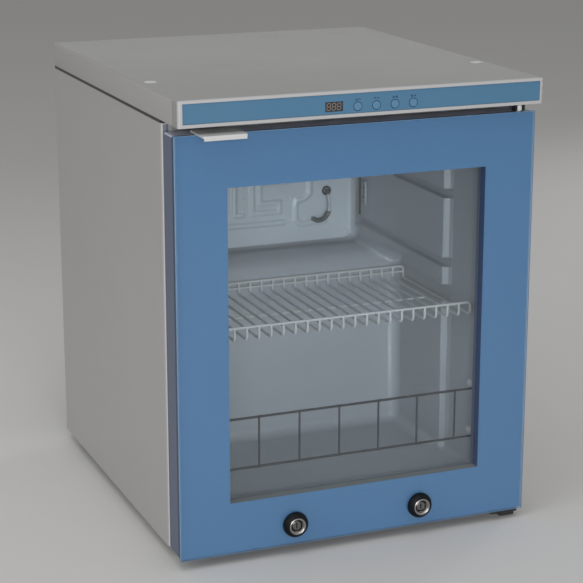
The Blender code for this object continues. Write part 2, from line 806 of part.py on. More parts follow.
def foam():
    """Foam between the liner and the sheet metal, left out round the compressor bay."""
    half = BODY_HALF - SHEET - FIT
    block = box((-half, FLANGE_DEPTH + SHEET + FIT, PAN_TOP + FIT),
                (half, D_BACK_PANEL - FIT, DECK_TOP - PAN_SHEET - FIT), FLANGE_RADIUS, 3,
                front_upright)
    cut(block, cavity_shape(LINER_WALL + FIT))
    flange_half = BODY_HALF - FLANGE_WIDTH
    front = box((-flange_half, FLANGE_DEPTH - 0.01, PAN_TOP - 0.01),
                (flange_half, FLANGE_DEPTH + LINER_WALL + FIT, DECK_TOP + 0.01))
    rail = box((-flange_half, FLANGE_DEPTH - 0.01, PAN_TOP - 0.01),
               (flange_half, FLANGE_DEPTH + RAIL_LIP + FIT, rail_top() + FIT))
    bay = box((-BODY_HALF + BAY_SIDE_WALL, D_BAY, PAN_TOP - 0.01),
              (BODY_HALF - BAY_SIDE_WALL, BODY_BACK + 0.01, BAY_TOP))
    cut(block, front, rail, bay)
    for x, d in foot_places():
        cut(block, rod((x, d, PAN_TOP - 0.01), FOOT_STUD_R + FIT, STUD_IN_PAN + 0.012, 2, 16))
    return finish(block, "foam_insulation", dict(color=(0.80, 0.72, 0.48), roughness=0.9))


def foot_places():
    x = BODY_HALF - FOOT_INSET_X
    return [(side * x, d) for d in (FOOT_FRONT, BODY_BACK - FOOT_REAR) for side in (-1, 1)]


def feet():
    """Four feet; the front two turn on their studs to level the cabinet."""
    names = ["foot_front_left", "foot_front_right", "foot_rear_left", "foot_rear_right"]
    for name, (x, d) in zip(names, foot_places()):
        place = (x, y_at(d), 0.0)
        top = BODY_BOTTOM - FIT
        profile = [(0.0, PAN_TOP + STUD_IN_PAN), (FOOT_STUD_R, PAN_TOP + STUD_IN_PAN),
                   (FOOT_STUD_R, top), (FOOT_R * 0.62, top), (FOOT_R * 0.62, FOOT_PAD),
                   (FOOT_R, FOOT_PAD * 0.8), (FOOT_R, 0.0008), (FOOT_R - 0.0008, 0.0), (0.0, 0.0)]
        foot = turned(profile, (x, d, 0.0), 2, 16, place)
        finish(foot, name, RUBBER)
        if "front" in name:
            hang(foot, pivot(name + "_axis", place))


def evaporator():
    """Roll-bonded plate with a raised channel, held off the back wall by the bosses."""
    x0, x1, z0, z1 = plate_box()
    plate = box((x0, D_PLATE, z0), (x1, D_PLATE + PLATE_THICK, z1), 0.012, 3, along(1))
    join(plate, wire(channel_route(), CHANNEL_R, 0))
    cut(plate, rod((probe_x(), D_PLATE - 0.01, grommet_z()), GROMMET_R - 0.002 + FIT, 0.03, 1, 16))
    return finish(plate, "evaporator_plate", dict(color=(0.70, 0.72, 0.74), roughness=0.45))


def channel_route():
    """The channel's path: rows joined by round bends, like the embossing on the plate."""
    x0, x1, z0, z1 = plate_box()
    rows = 5
    left = x0 + 0.050
    right = x1 - 0.075
    pitch = (z1 - z0 - 0.070) / (rows - 1)
    bend = pitch / 2
    points = []
    for row in range(rows):
        z = z0 + 0.026 + row * pitch
        ends = (left, right) if row % 2 == 0 else (right, left)
        points.append((ends[0], D_PLATE, z))
        points.append((ends[1], D_PLATE, z))
        if row < rows - 1:
            sign = 1 if ends[1] > ends[0] else -1
            for k in range(1, 4):
                angle = -math.pi / 2 + k * math.pi / 4
                points.append((ends[1] + sign * bend * math.cos(angle), D_PLATE,
                               z + bend + bend * math.sin(angle)))
    return points


def probe_x():
    return plate_box()[1] - 0.036


def grommet_z():
    return plate_box()[2] + 0.066


def heater_foil():
    """Heating foil on the plate's rear side, over the ridges of the channel."""
    d = D_PLATE + max(PLATE_THICK, CHANNEL_R) + FIT
    x0, x1, z0, z1 = plate_box()
    middle = (z0 + z1) / 2
    foil = box((-FOIL_WIDTH / 2, d, middle - FOIL_HEIGHT / 2),
               (FOIL_WIDTH / 2, d + FOIL_THICK, middle + FOIL_HEIGHT / 2), 0.006, 2, along(1))
    return finish(foil, "heater_foil", dict(color=(0.75, 0.45, 0.10), roughness=0.4))


def probe():
    """Bent temperature probe lying on the plate, its lead leaving through the grommet."""
    x = probe_x()
    z = grommet_z()
    front = D_PLATE - CHANNEL_R - 0.004
    knots = [(x - 0.024, front, z - 0.036), (x - 0.016, front, z - 0.041),
             (x - 0.004, front, z - 0.036), (x + 0.002, front, z - 0.024),
             (x + 0.001, front, z - 0.010), (x, front + 0.001, z - 0.002),
             (x, D_PLATE - 0.003, z), (x, D_PLATE + 0.001, z), (x, D_PLATE + 0.006, z)]
    points = [tuple(p) for p in smooth_points(knots, 2)]
    finish(wire(points, PROBE_R), "temperature_probe", GREY)
    bore = PROBE_R + 2 * FIT
    profile = [(bore, -0.0012), (GROMMET_R, -0.0012), (GROMMET_R, 0.0008),
               (GROMMET_R - 0.002, 0.0008), (GROMMET_R - 0.002, 0.0035), (bore, 0.0035),
               (bore, -0.0012)]
    flipped = [(r, -h) for r, h in profile]
    grommet = turned(flipped, (x, D_PLATE - 0.0011, z), 1, 20)
    return finish(grommet, "tube_grommet", RUBBER)


def sensor_cover():
    """Small cover with three holes on the right wall, close to the plate."""
    d = CAVITY_BACK - 0.030
    z = HUMP_TOP + 0.070
    x1 = PAD_HALF - FIT
    cover = box((x1 - 0.0035, d - 0.007, z - 0.016), (x1, d + 0.007, z + 0.016), 0.0012, 2, None)
    holes = [rod((x1 - 0.0045, d, z + k * 0.0085), 0.0020, 0.0032, 0, 12) for k in (-1, 0, 1)]
    cut(cover, merged(holes))
    return finish(cover, "air_sensor_cover", WHITE)


def shelf():
    """Wire shelf: a flat floor of bars between raised front and rear rails."""
    x, bend = SHELF_HALF, SHELF_BEND
    front, rear = SHELF_FRONT, D_SHELF_REAR
    low = SHELF_LOW
    middle = (front + rear) / 2
    places = [(index - (SHELF_BARS - 1) / 2) * SHELF_PITCH for index in range(SHELF_BARS)]
    bars = [wire([(px, front + bend + FIT, low), (px, rear - bend - FIT, low)], WIRE_R, 1)
            for px in [-x] + places + [x]]
    cross = wire([(-x, middle, low), (x, middle, low)], WIRE_R * 0.9, 1)
    finish(join(cross, merged(bars)), "shelf_floor_bars", WHITE)
    for name, d, inward in (("shelf_front_rail", front, 1), ("shelf_rear_rail", rear, -1)):
        finish(raised_rail(d, inward, places), name, WHITE)


def raised_rail(d, inward, places):
    """A rail over short uprights that bend in to meet the shelf's floor bars."""
    x, bend = SHELF_HALF, SHELF_BEND
    low, high = SHELF_LOW, SHELF_HIGH
    k = bend * 0.3
    foot = [(d + inward * bend, low), (d + inward * bend * 0.85, low),
            (d + inward * k, low + k), (d, low + bend)]
    side = [(-x, depth, z) for depth, z in foot]
    side += [(-x, d, high - bend), (-x + k, d, high - k), (-x + bend, d, high)]
    rail = wire(side + [(-px, depth, z) for px, depth, z in reversed(side)], WIRE_R, 1)
    uprights = [wire([(px, depth, z) for depth, z in foot] + [(px, d, high)], WIRE_R, 1)
                for px in places]
    return join(rail, merged(uprights))


def guard():
    """Bottle guard: two rails and upright bars."""
    half = MOUTH_HALF - FIT - 0.0007
    low, high = guard_levels()
    rails = [wire([(-half, GUARD_DEPTH, z), (half, GUARD_DEPTH, z)], WIRE_R, 1)
             for z in (low, high)]
    body = merged(rails)
    bars = []
    count = 2 * int((half - GUARD_END_GAP) / GUARD_PITCH) + 1
    for index in range(count):
        px = (index - (count - 1) / 2) * GUARD_PITCH
        bars.append(wire([(px, GUARD_DEPTH, low), (px, GUARD_DEPTH, high)], GUARD_BAR_R, 1))
    join(body, merged(bars))
    return finish(body, "bottle_guard", CHROME)


def guard_levels():
    low = CAVITY_FLOOR + GUARD_LOW
    return low, low + GUARD_RISE


def guard_hooks():
    """Hooks moulded on the side walls, with the seats that the rail ends rest in."""
    seat = WIRE_R + FIT
    blocks = []
    seats = []
    for side in (-1, 1):
        reach = sorted((side * (MOUTH_HALF + 0.001), side * (MOUTH_HALF - CLIP_REACH)))
        end = sorted((side * (MOUTH_HALF - FIT), side * (MOUTH_HALF - CLIP_REACH - 0.002)))
        for z in guard_levels():
            blocks.append(box((reach[0], GUARD_DEPTH - CLIP_DEPTH / 2, z - WIRE_R - 0.0025),
                              (reach[1], GUARD_DEPTH + CLIP_DEPTH / 2, z - WIRE_R + CLIP_HEIGHT)))
            seats.append(box((end[0], GUARD_DEPTH - seat, z - seat),
                             (end[1], GUARD_DEPTH + seat, z + CLIP_HEIGHT + 0.002)))
    return merged(blocks), merged(seats)


def pane_hole(depth, length, radius, origin=(0, 0, 0)):
    return [rod((lock_x(s), depth, LOCK_Z), radius, length, 1, 24, origin) for s in (-1, 1)]


def door(axis):
    """Glass, print, spacer, inner pane, frame, gasket and tab, all hung on the hinge."""
    edge = (HALF, DOOR_BOTTOM, DOOR_TOP)
    window = (WINDOW_HALF, WINDOW_LOW, WINDOW_HIGH)
    barrel = LOCK_BARREL_R + FIT
    home = tuple(axis.location)

    glass = box((-edge[0], 0.0, edge[1]), (edge[0], GLASS, edge[2]), EDGE_CHAMFER, 1, None, home)
    cut(glass, merged(pane_hole(-0.01, 0.03, barrel)))
    finish(glass, "outer_glass", dict(color=(0.80, 0.88, 0.90), roughness=0.03, alpha=0.25))

    inset = EDGE_CHAMFER
    border = ring((edge[0] - inset, edge[1] + inset, edge[2] - inset), window,
                  (GLASS + FIT, GLASS + FIT + PRINT), home)
    cut(border, merged(pane_hole(-0.01, 0.03, barrel)))
    finish(border, "printed_border", BLUE)

    out = SPACER_WIDTH
    spacer = ring((window[0] + out, window[1] - out, window[2] + out), window,
                  (D_SPACER, D_SPACER + SPACER_DEPTH), home)
    finish(spacer, "spacer_frame", dict(color=(0.02, 0.03, 0.06), roughness=0.5))

    lap = INNER_GLASS_LAP
    pane = (window[0] + lap, window[1] - lap, window[2] + lap)
    inner = box((-pane[0], D_INNER_GLASS, pane[1]), (pane[0], D_INNER_GLASS + GLASS, pane[2]),
                0.0, 1, None, home)
    finish(inner, "inner_glass", dict(color=(0.85, 0.90, 0.90), roughness=0.03, alpha=0.25))

    door_frame(edge, pane, home)
    gasket = ring((GASKET_OUT, MOUTH_BOTTOM - GASKET_LAP - GASKET_WIDTH,
                   CAVITY_TOP + GASKET_LAP + GASKET_WIDTH),
                  (MOUTH_HALF + GASKET_LAP, MOUTH_BOTTOM - GASKET_LAP, CAVITY_TOP + GASKET_LAP),
                  (FRAME_BACK + FIT, FLANGE_DEPTH - FIT), home, 0.006)
    cut(gasket, gasket_grooves())
    finish(gasket, "door_gasket", dict(color=(0.60, 0.61, 0.62), roughness=0.7))
    handle_tab(home)


def gasket_grooves():
    """A waist round the gasket's outer side, between its base and its sealing bulb."""
    middle = (FRAME_BACK + FLANGE_DEPTH) / 2
    waist = 0.0030
    big = 0.03
    low = MOUTH_BOTTOM - GASKET_LAP - GASKET_WIDTH
    high = CAVITY_TOP + GASKET_LAP + GASKET_WIDTH
    return ring((GASKET_OUT + big, low - big, high + big),
                (GASKET_OUT - waist, low + waist, high - waist),
                (middle - 0.0018, middle + 0.0002))


def door_frame(edge, pane, home):
    inset = FRAME_INSET
    outer = (edge[0] - inset, edge[1] + inset, edge[2] - inset)
    opening = (pane[0] + FIT, pane[1] - FIT, pane[2] + FIT)
    frame = ring(outer, (pane[0] - FRAME_LIP, pane[1] + FRAME_LIP, pane[2] - FRAME_LIP),
                 (D_SPACER, FRAME_BACK), home, 0.002)
    cut(frame, box((-opening[0], D_SPACER - 0.01, opening[1]),
                   (opening[0], D_INNER_GLASS + GLASS + FIT, opening[2])))
    cut(frame, merged(pane_hole(-0.01, 0.06, LOCK_BARREL_R + FIT)))
    bush = BUSH_R + FIT
    length = PIN_IN_DOOR + 0.003
    for z in (outer[1] - 0.001, outer[2] + 0.001 - length):
        cut(frame, rod((HINGE_X, HINGE_DEPTH, z), bush, length, 2, 24))
    return finish(frame, "door_frame", dict(color=(0.33, 0.36, 0.40), roughness=0.40))


def handle_tab(home):
    """Finger tab on the door's top edge, turned down at the front."""
    x0 = -HALF + TAB_FROM_EDGE
    x1 = x0 + TAB_WIDTH
    low = DOOR_TOP + FIT
    tab = box((x0, -TAB_REACH, low), (x1, TAB_ON_DOOR, low + TAB_THICK), TAB_CORNER, 3,
              along(2), home)
    lip = box((x0 + TAB_CORNER * 0.4, -TAB_REACH + 0.0003, low + TAB_THICK - TAB_LIP),
              (x1 - TAB_CORNER * 0.4, -TAB_REACH + 0.0028, low + 0.001), 0.0008, 2, along(0))
    join(tab, lip)
    return finish(tab, "handle_tab", WHITE)


def lock(hand, side, door_axis):
    """Cam lock through the door's lower border: housing, nut, turning plug and cam."""
    x = lock_x(side)
    home = (x, y_at(0.0), LOCK_Z)
    head = LOCK_HEAD_DEPTH
    bore = LOCK_PLUG_R + FIT
    back = FRAME_BACK + LOCK_NUT_THICK + FIT + 0.0005
    round_ = LOCK_HEAD_ROUND
    profile = [(bore, head - LOCK_MOUTH_DEPTH), (LOCK_HEAD_MOUTH_R, head),
               (LOCK_HEAD_R - round_, head), (LOCK_HEAD_R - round_ * 0.3, head - round_ * 0.3),
               (LOCK_HEAD_R, head - round_), (LOCK_HEAD_R, FIT), (LOCK_BARREL_R, FIT),
               (LOCK_BARREL_R, -back), (bore, -back), (bore, head - LOCK_MOUTH_DEPTH)]
    housing = turned(profile, (x, 0.0, LOCK_Z), 1, 24, home)
    finish(housing, f"lock_housing_{hand}", BLACK)
    hang(housing, door_axis)

    near = -FRAME_BACK - FIT
    far = near - LOCK_NUT_THICK
    nut = turned([(0.0, near), (LOCK_NUT_R, near), (LOCK_NUT_R, far), (0.0, far)],
                 (x, 0.0, LOCK_Z), 1, 6, home)
    cut(nut, rod((x, 0.0, LOCK_Z), LOCK_BARREL_R + FIT, 0.05, 1, 24))
    finish(nut, f"lock_nut_{hand}", ZINC)
    hang(nut, door_axis)

    axis = pivot(f"lock_axis_{hand}", home, door_axis)
    cam_front = D_CAM - FIT
    spindle = LOCK_SPINDLE
    plug_front = head - LOCK_MOUTH_DEPTH - LOCK_PLUG_SINK * 0.25
    profile = [(0.0, plug_front), (LOCK_PLUG_R - 0.0006, plug_front),
               (LOCK_PLUG_R, plug_front - 0.0006), (LOCK_PLUG_R, -back - 0.0006),
               (spindle * 0.9, -back - 0.0006), (spindle * 0.9, -cam_front), (0.0, -cam_front)]
    plug = turned(profile, (x, 0.0, LOCK_Z), 1, 20, home)
    cut(plug, box((x - KEY_SLOT_WIDTH / 2, -head, LOCK_Z - KEY_SLOT_LENGTH / 2),
                  (x + KEY_SLOT_WIDTH / 2, -plug_front + KEY_SLOT_DEPTH,
                   LOCK_Z + KEY_SLOT_LENGTH / 2)))
    finish(plug, f"lock_plug_{hand}", CHROME)
    hang(plug, axis)

    half = LOCK_CAM_WIDTH / 2
    cam = box((x - LOCK_CAM_LENGTH, D_CAM, LOCK_Z - half),
              (x + half, D_CAM + LOCK_CAM_THICK, LOCK_Z + half), 0.003, 3, along(1), home)
    finish(cam, f"lock_cam_{hand}", STEEL)
    hang(cam, axis)


def hinge(level, door_axis):
    """Bracket on the body, pin, and a flanged bush in the door."""
    up = level == "upper"
    x0, x1 = HINGE_X - BRACKET_IN, HINGE_X + BRACKET_OUT
    if up:
        top = BRACKET_TOP
        bottom = top - BRACKET_THICK
        door_edge = DOOR_TOP - FRAME_INSET
        pin_low, pin_high = door_edge - PIN_IN_DOOR, top
    else:
        door_edge = DOOR_BOTTOM + FRAME_INSET
        top = DOOR_BOTTOM - BUSH_FLANGE - FIT
        bottom = top - BRACKET_THICK
        pin_low, pin_high = bottom - HINGE_STEP_DROP + 0.001, door_edge + PIN_IN_DOOR
    back = FLANGE_DEPTH + BRACKET_ON_BODY
    plate = box((x0, HINGE_DEPTH - BRACKET_REACH, bottom), (x1, back, top),
                BRACKET_CORNER, 3, along(2))
    if not up:
        pad = box((x0, FLANGE_DEPTH + 0.002, top - 0.001), (x1, back, BODY_BOTTOM - FIT),
                  BRACKET_CORNER, 3, along(2))
        step = box((HINGE_X - HINGE_STEP_IN, HINGE_DEPTH - HINGE_STEP_OUT * 0.7, bottom - HINGE_STEP_DROP),
                   (HINGE_X + HINGE_STEP_OUT, HINGE_DEPTH + HINGE_STEP_IN, bottom + 0.001),
                   BRACKET_CORNER * 0.5, 3, along(2))
        join(plate, pad, step)
    cut(plate, rod((HINGE_X, HINGE_DEPTH, bottom - 0.01), PIN_R + FIT, 0.03, 2, 18))
    finish(plate, f"{level}_hinge_bracket", BLACK)

    pin = rod((HINGE_X, HINGE_DEPTH, pin_low), PIN_R, pin_high - pin_low, 2, 18)
    finish(pin, f"{level}_hinge_pin", CHROME)

    hole = PIN_R + PIN_CLEARANCE
    length = PIN_IN_DOOR + 0.001
    if up:
        reach = bottom - FIT - door_edge
        profile = [(hole, reach), (BUSH_FLANGE_R * 0.8, reach), (BUSH_FLANGE_R, reach - 0.001),
                   (BUSH_FLANGE_R, FIT + FRAME_INSET + 0.0002), (BUSH_R, FIT + FRAME_INSET),
                   (BUSH_R, -length), (hole, -length), (hole, reach)]
        bush = turned(profile, (HINGE_X, HINGE_DEPTH, door_edge), 2, 18, tuple(door_axis.location))
    else:
        reach = door_edge - top - FIT
        profile = [(hole, length), (BUSH_R, length), (BUSH_R, -FRAME_INSET),
                   (BUSH_FLANGE_R, -FRAME_INSET), (BUSH_FLANGE_R, -reach), (hole, -reach),
                   (hole, length)]
        bush = turned(profile, (HINGE_X, HINGE_DEPTH, door_edge), 2, 18, tuple(door_axis.location))
    finish(bush, f"{level}_hinge_bush", WHITE)
    hang(bush, door_axis)


def cap_places():
    return [side * (HALF - CAP_INSET) for side in (-1, 1)]


def top_cover():
    """Hollow cover over the deck, with a screw boss and a cap recess at each front corner."""
    d0 = -FASCIA_REACH + FASCIA_RIM + FIT
    d1 = BODY_BACK - COVER_BACK_INSET
    cover = box((-HALF, d0, COVER_BOTTOM), (HALF, d1, COVER_TOP))
    bm = bmesh.new()
    bm.from_mesh(cover.data)
    rear = max(v.co.y for v in bm.verts)
    top = max(v.co.z for v in bm.verts)
    bevel_edges(bm, COVER_CORNER, 5, lambda a, b: along(2)(a, b) and abs(a.y - rear) < 1e-6)
    front = min(v.co.y for v in bm.verts)
    bevel_edges(bm, COVER_EDGE, 3, lambda a, b: abs(a.z - top) < 1e-6 and abs(b.z - top) < 1e-6
                and not (abs(a.y - front) < 1e-6 and abs(b.y - front) < 1e-6))
    bm.to_mesh(cover.data)
    bm.free()
    wall = COVER_WALL
    hollow = box((-HALF + wall, d0 - 0.01, COVER_BOTTOM - 0.01),
                 (HALF - wall, d1 - wall, COVER_TOP - wall), COVER_CORNER - wall, 4,
                 lambda a, b: along(2)(a, b) and a.y > 0)
    cut(cover, hollow)
    low = DECK_TOP + FIT
    for x in cap_places():
        inward = -1 if x > 0 else 1
        span = sorted((x - inward * (CAP_INSET - wall + 0.001), x + inward * BOSS_HALF))
        boss = box((span[0], CAP_DEPTH - BOSS_HALF, low),
                   (span[1], CAP_DEPTH + BOSS_HALF, COVER_TOP - wall + 0.001))
        join(cover, boss)
    for x in cap_places():
        seat = COVER_TOP - CAP_THICK + CAP_PROUD - FIT
        cut(cover, rod((x, CAP_DEPTH, seat), CAP_R + FIT, 0.02, 2, 24))
    return finish(cover, "top_cover", PAINT)


def cover_caps():
    """The round cap over the screw boss at each front corner of the cover."""
    for x, hand in zip(cap_places(), ("left", "right")):
        top = COVER_TOP + CAP_PROUD
        cap = turned([(0.0, top), (CAP_R - 0.0008, top), (CAP_R, top - 0.0006),
                      (CAP_R, top - CAP_THICK), (0.0, top - CAP_THICK)],
                     (x, CAP_DEPTH, 0.0), 2, 24)
        finish(cap, f"cover_cap_{hand}", WHITE)


def display_x():
    return -HALF + DISPLAY_FROM_LEFT


def button_x(index):
    return -HALF + BUTTON_FIRST + index * BUTTON_PITCH


def fascia():
    """Front frame of the top: a thin rim, and a sleeve inside the cover with board posts."""
    d0 = -FASCIA_REACH
    d1 = d0 + FASCIA_DEPTH
    frame = box((-HALF, d0, COVER_BOTTOM), (HALF, d0 + FASCIA_RIM, COVER_TOP))
    bm = bmesh.new()
    bm.from_mesh(frame.data)
    back = max(v.co.y for v in bm.verts)
    bevel_edges(bm, COVER_EDGE, 3, lambda a, b: not (abs(a.y - back) < 1e-6 and abs(b.y - back) < 1e-6)
                and not (a.z < COVER_BOTTOM + 1e-6 and b.z < COVER_BOTTOM + 1e-6))
    bm.to_mesh(frame.data)
    bm.free()
    wall = FASCIA_WALL
    half, top = HALF - COVER_WALL - FIT, COVER_TOP - COVER_WALL - FIT
    join(frame, box((-half, d0 + FASCIA_RIM / 2, COVER_BOTTOM + FIT), (half, d1, top)))
    recess = box((STRIP_X0, d0 - 0.01, STRIP_Z0), (STRIP_X1, D_LEDGE, STRIP_Z1))
    hollow = box((-half + wall, D_LEDGE + STRIP_LEDGE, COVER_BOTTOM + FIT + wall),
                 (half - wall, d1 + 0.01, top - wall))
    ledge = STRIP_LEDGE
    through = box((STRIP_X0 + ledge, D_STRIP + 0.0005, STRIP_Z0 - 0.001),
                  (STRIP_X1 - ledge, D_LEDGE + 0.01, STRIP_Z1 - ledge))
    cut(frame, recess, hollow, through)
    x0, x1 = board_span()
    d_board = board_depth()
    for x in (x0 + 0.004, x1 - 0.004):
        join(frame, box((x - 0.002, d_board + BOARD_THICK + FIT, COVER_BOTTOM + 0.001),
                        (x + 0.002, d_board + BOARD_THICK + FIT + 0.003, top - 0.001)))
    return finish(frame, "fascia_frame", WHITE)


def control_strip():
    """Blue strip with a window for the display and a hole for each button."""
    strip = box((STRIP_X0 + FIT, D_STRIP, STRIP_Z0 + FIT),
                (STRIP_X1 - FIT, D_STRIP + STRIP_THICK, STRIP_Z1 - FIT))
    z = COVER_BOTTOM + DISPLAY_BOTTOM
    holes = [box((display_x(), D_STRIP - 0.01, z),
                 (display_x() + DISPLAY_WIDTH, D_STRIP + 0.01, z + DISPLAY_HEIGHT))]
    for index in range(BUTTON_COUNT):
        holes.append(rod((button_x(index), D_STRIP - 0.01, BUTTON_Z),
                         BUTTON_R + BUTTON_CLEARANCE, 0.02, 1, 20))
    cut(strip, merged(holes))
    return finish(strip, "control_strip", BLUE)


def display():
    z = COVER_BOTTOM + DISPLAY_BOTTOM
    x = display_x()
    window = box((x + FIT, D_STRIP + 0.0004, z + FIT),
                 (x + DISPLAY_WIDTH - FIT, D_STRIP + 0.0004 + WINDOW_THICK, z + DISPLAY_HEIGHT - FIT))
    finish(window, "display_window", dict(color=(0.10, 0.06, 0.05), roughness=0.05, alpha=0.5))
    front = D_STRIP + STRIP_THICK + FIT
    module = box((x - 0.001, front, z - 0.001),
                 (x + DISPLAY_WIDTH + 0.001, board_depth() - FIT, z + DISPLAY_HEIGHT + 0.001))
    return finish(module, "display_module", BLACK)


def board_depth():
    return D_STRIP + STRIP_THICK + FIT + MODULE_DEPTH + FIT


def board_span():
    return display_x() - BOARD_MARGIN, button_x(BUTTON_COUNT - 1) + BOARD_MARGIN


def controller_board():
    """Circuit board with a key switch behind each button and its larger parts."""
    x0, x1 = board_span()
    d = board_depth()
    z = BUTTON_Z - BOARD_HEIGHT / 2 + 0.003
    board = box((x0, d, z), (x1, d + BOARD_THICK, z + BOARD_HEIGHT))
    d_switch = D_STRIP - BUTTON_PROUD + button_length() + BUTTON_TRAVEL + FIT
    half = SWITCH_SIZE / 2
    parts = []
    for index in range(BUTTON_COUNT):
        x = button_x(index)
        parts.append(box((x - half, d_switch, BUTTON_Z - half), (x + half, d + 0.001, BUTTON_Z + half)))
    middle = z + BOARD_HEIGHT / 2
    sunk = BOARD_THICK / 2
    x_relay = x0 + RELAY_FROM_END
    parts.append(box((x_relay, d + sunk, middle - RELAY_HEIGHT / 2),
                     (x_relay + RELAY_WIDTH, d + BOARD_THICK + RELAY_DEPTH, middle + RELAY_HEIGHT / 2)))
    parts.append(rod((x1 - CAPACITOR_FROM_END, d + sunk, middle), CAPACITOR_R,
                     CAPACITOR_LENGTH + sunk, 1, 16))
    join(board, merged(parts))
    return finish(board, "controller_board", dict(color=(0.03, 0.16, 0.07), roughness=0.5))


def button_length():
    return BUTTON_PROUD + STRIP_THICK + FIT + BUTTON_FLANGE + BUTTON_STEM


def buttons():
    """Four keys that travel straight back; a flange behind the strip keeps each one in."""
    length = button_length()
    for index in range(BUTTON_COUNT):
        x = button_x(index)
        front = -D_STRIP + BUTTON_PROUD
        neck = -D_STRIP - STRIP_THICK - FIT
        profile = [(0.0, front), (BUTTON_R - 0.0005, front), (BUTTON_R, front - 0.0004),
                   (BUTTON_R, neck), (BUTTON_FLANGE_R, neck), (BUTTON_FLANGE_R, neck - BUTTON_FLANGE),
                   (0.0020, neck - BUTTON_FLANGE), (0.0020, front - length), (0.0, front - length)]
        home = (x, y_at(D_STRIP), BUTTON_Z)
        key = turned(profile, (x, 0.0, BUTTON_Z), 1, 20, home)
        finish(key, f"button_{index + 1}", BLUE)


def compressor_bay():
    """Compressor with its starter cover, base and tubes behind the liner's hump."""
    middle = (D_BAY + D_BACK_PANEL) / 2
    x = COMPRESSOR_X
    floor = PAN_TOP + FIT
    half_w = COMPRESSOR_R + 0.022
    half_d = COMPRESSOR_R * COMPRESSOR_SQUASH + 0.012
    base = box((x - half_w, middle - half_d, floor + COMPRESSOR_LIFT - BASE_THICK),
               (x + half_w, middle + half_d, floor + COMPRESSOR_LIFT), 0.008, 3, along(2))
    posts = [rod((x + i * (half_w - 0.012), middle + j * (half_d - 0.012), floor),
                 0.007, COMPRESSOR_LIFT - 0.001, 2, 16) for i in (-1, 1) for j in (-1, 1)]
    join(base, merged(posts))
    finish(base, "compressor_base", ZINC)

    r = COMPRESSOR_R
    low = floor + COMPRESSOR_LIFT + FIT
    high = low + COMPRESSOR_HEIGHT
    dome = [(0.0, high)]
    for k in range(1, 6):
        angle = k * math.pi / 10
        dome.append((r * math.sin(angle), high - r * 0.5 * (1 - math.cos(angle))))
    seam = low + COMPRESSOR_HEIGHT * 0.48
    profile = dome + [(r, seam + 0.003), (r + 0.002, seam + 0.002), (r + 0.002, seam - 0.002),
                      (r, seam - 0.003), (r, low + 0.022), (r * 0.86, low + 0.006),
                      (r * 0.7, low), (0.0, low)]
    pot = turned(profile, (0.0, -FRONT_Y, 0.0), 2, 24)
    bm = bmesh.new()
    bm.from_mesh(pot.data)
    bmesh.ops.scale(bm, vec=(1.0, COMPRESSOR_SQUASH, 1.0), verts=bm.verts)
    bmesh.ops.translate(bm, vec=(x, y_at(middle), 0.0), verts=bm.verts)
    bm.to_mesh(pot.data)
    bm.free()
    x_side = x + r + 0.002
    z_start = low + STARTER_LIFT
    starter = box((x_side - r * 0.25, middle - STARTER_DEPTH / 2, z_start),
                  (x_side + STARTER_WIDTH, middle + STARTER_DEPTH / 2, z_start + STARTER_HEIGHT),
                  STARTER_ROUND, 2, None)
    finish(join(pot, starter), "compressor", BLACK)

    x_dry = x_side + STARTER_WIDTH + DRIER_FROM_STARTER
    z_dry = low + DRIER_LIFT
    neck = TUBE_R * 1.25
    drier = turned([(0.0, z_dry + DRIER_LENGTH), (neck, z_dry + DRIER_LENGTH),
                    (DRIER_R, z_dry + DRIER_LENGTH - 0.014), (DRIER_R, z_dry + 0.014),
                    (neck, z_dry), (0.0, z_dry)], (x_dry, middle, 0.0), 2, 20)
    tubes(x, middle, high, x_dry, z_dry, drier)


def tubes(x, middle, high, x_dry, z_dry, drier):
    """Suction tube, and discharge tube with the filter drier brazed into it."""
    copper = dict(color=(0.70, 0.33, 0.18), roughness=0.30, metallic=1.0)
    gap = FIT
    top = high + gap
    rise = BAY_TOP - 0.012
    x_plate = LOUVRE_SPAN - 0.04
    suction = [(x, middle, top), (x, middle, top + 0.010), (x, middle, rise - 0.012),
               (x + 0.020, middle - 0.004, rise), (x_plate - 0.030, middle + 0.006, rise),
               (x_plate, middle + 0.012, rise + 0.001)]
    finish(wire([tuple(p) for p in smooth_points(suction, 4)], TUBE_R), "suction_tube", copper)
    bend_top = z_dry + DRIER_LENGTH
    liquid = [(x_dry, middle, bend_top - 0.006), (x_dry, middle, bend_top + 0.008),
              (x_dry + 0.006, middle - 0.002, bend_top + 0.020),
              (x_dry + 0.040, middle - 0.010, bend_top + 0.024),
              (BODY_HALF - TUBE_FROM_SIDE * 1.25, middle - TUBE_DROP_BACK, bend_top + 0.010),
              (BODY_HALF - TUBE_FROM_SIDE, middle - TUBE_DROP_BACK, z_dry + 0.040),
              (BODY_HALF - TUBE_FROM_SIDE, middle - TUBE_DROP_BACK, PAN_TOP + FIT)]
    tube = wire([tuple(p) for p in smooth_points(liquid, 4)], TUBE_R)
    finish(join(tube, drier), "discharge_tube", copper)


def build():
    side_panel("left_side_panel", -1)
    side_panel("right_side_panel", 1)
    base_pan()
    front_rail()
    top_panel()
    back_panel()
    compressor_cover()
    power_inlet()
    liner()
    foam()
    feet()
    evaporator()
    heater_foil()
    probe()
    sensor_cover()
    shelf()
    guard()
    compressor_bay()
    top_cover()
    cover_caps()
    fascia()
    control_strip()
    display()
    controller_board()
    buttons()
    door_axis = pivot("door_axis", (HINGE_X, y_at(HINGE_DEPTH), DOOR_BOTTOM))
    before = set(PARTS.objects)
    door(door_axis)
    for obj in set(PARTS.objects) - before:
        hang(obj, door_axis)
    for hand, side in (("left", -1), ("right", 1)):
        lock(hand, side, door_axis)
    hinge("upper", door_axis)
    hinge("lower", door_axis)


build()
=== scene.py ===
import json
import math

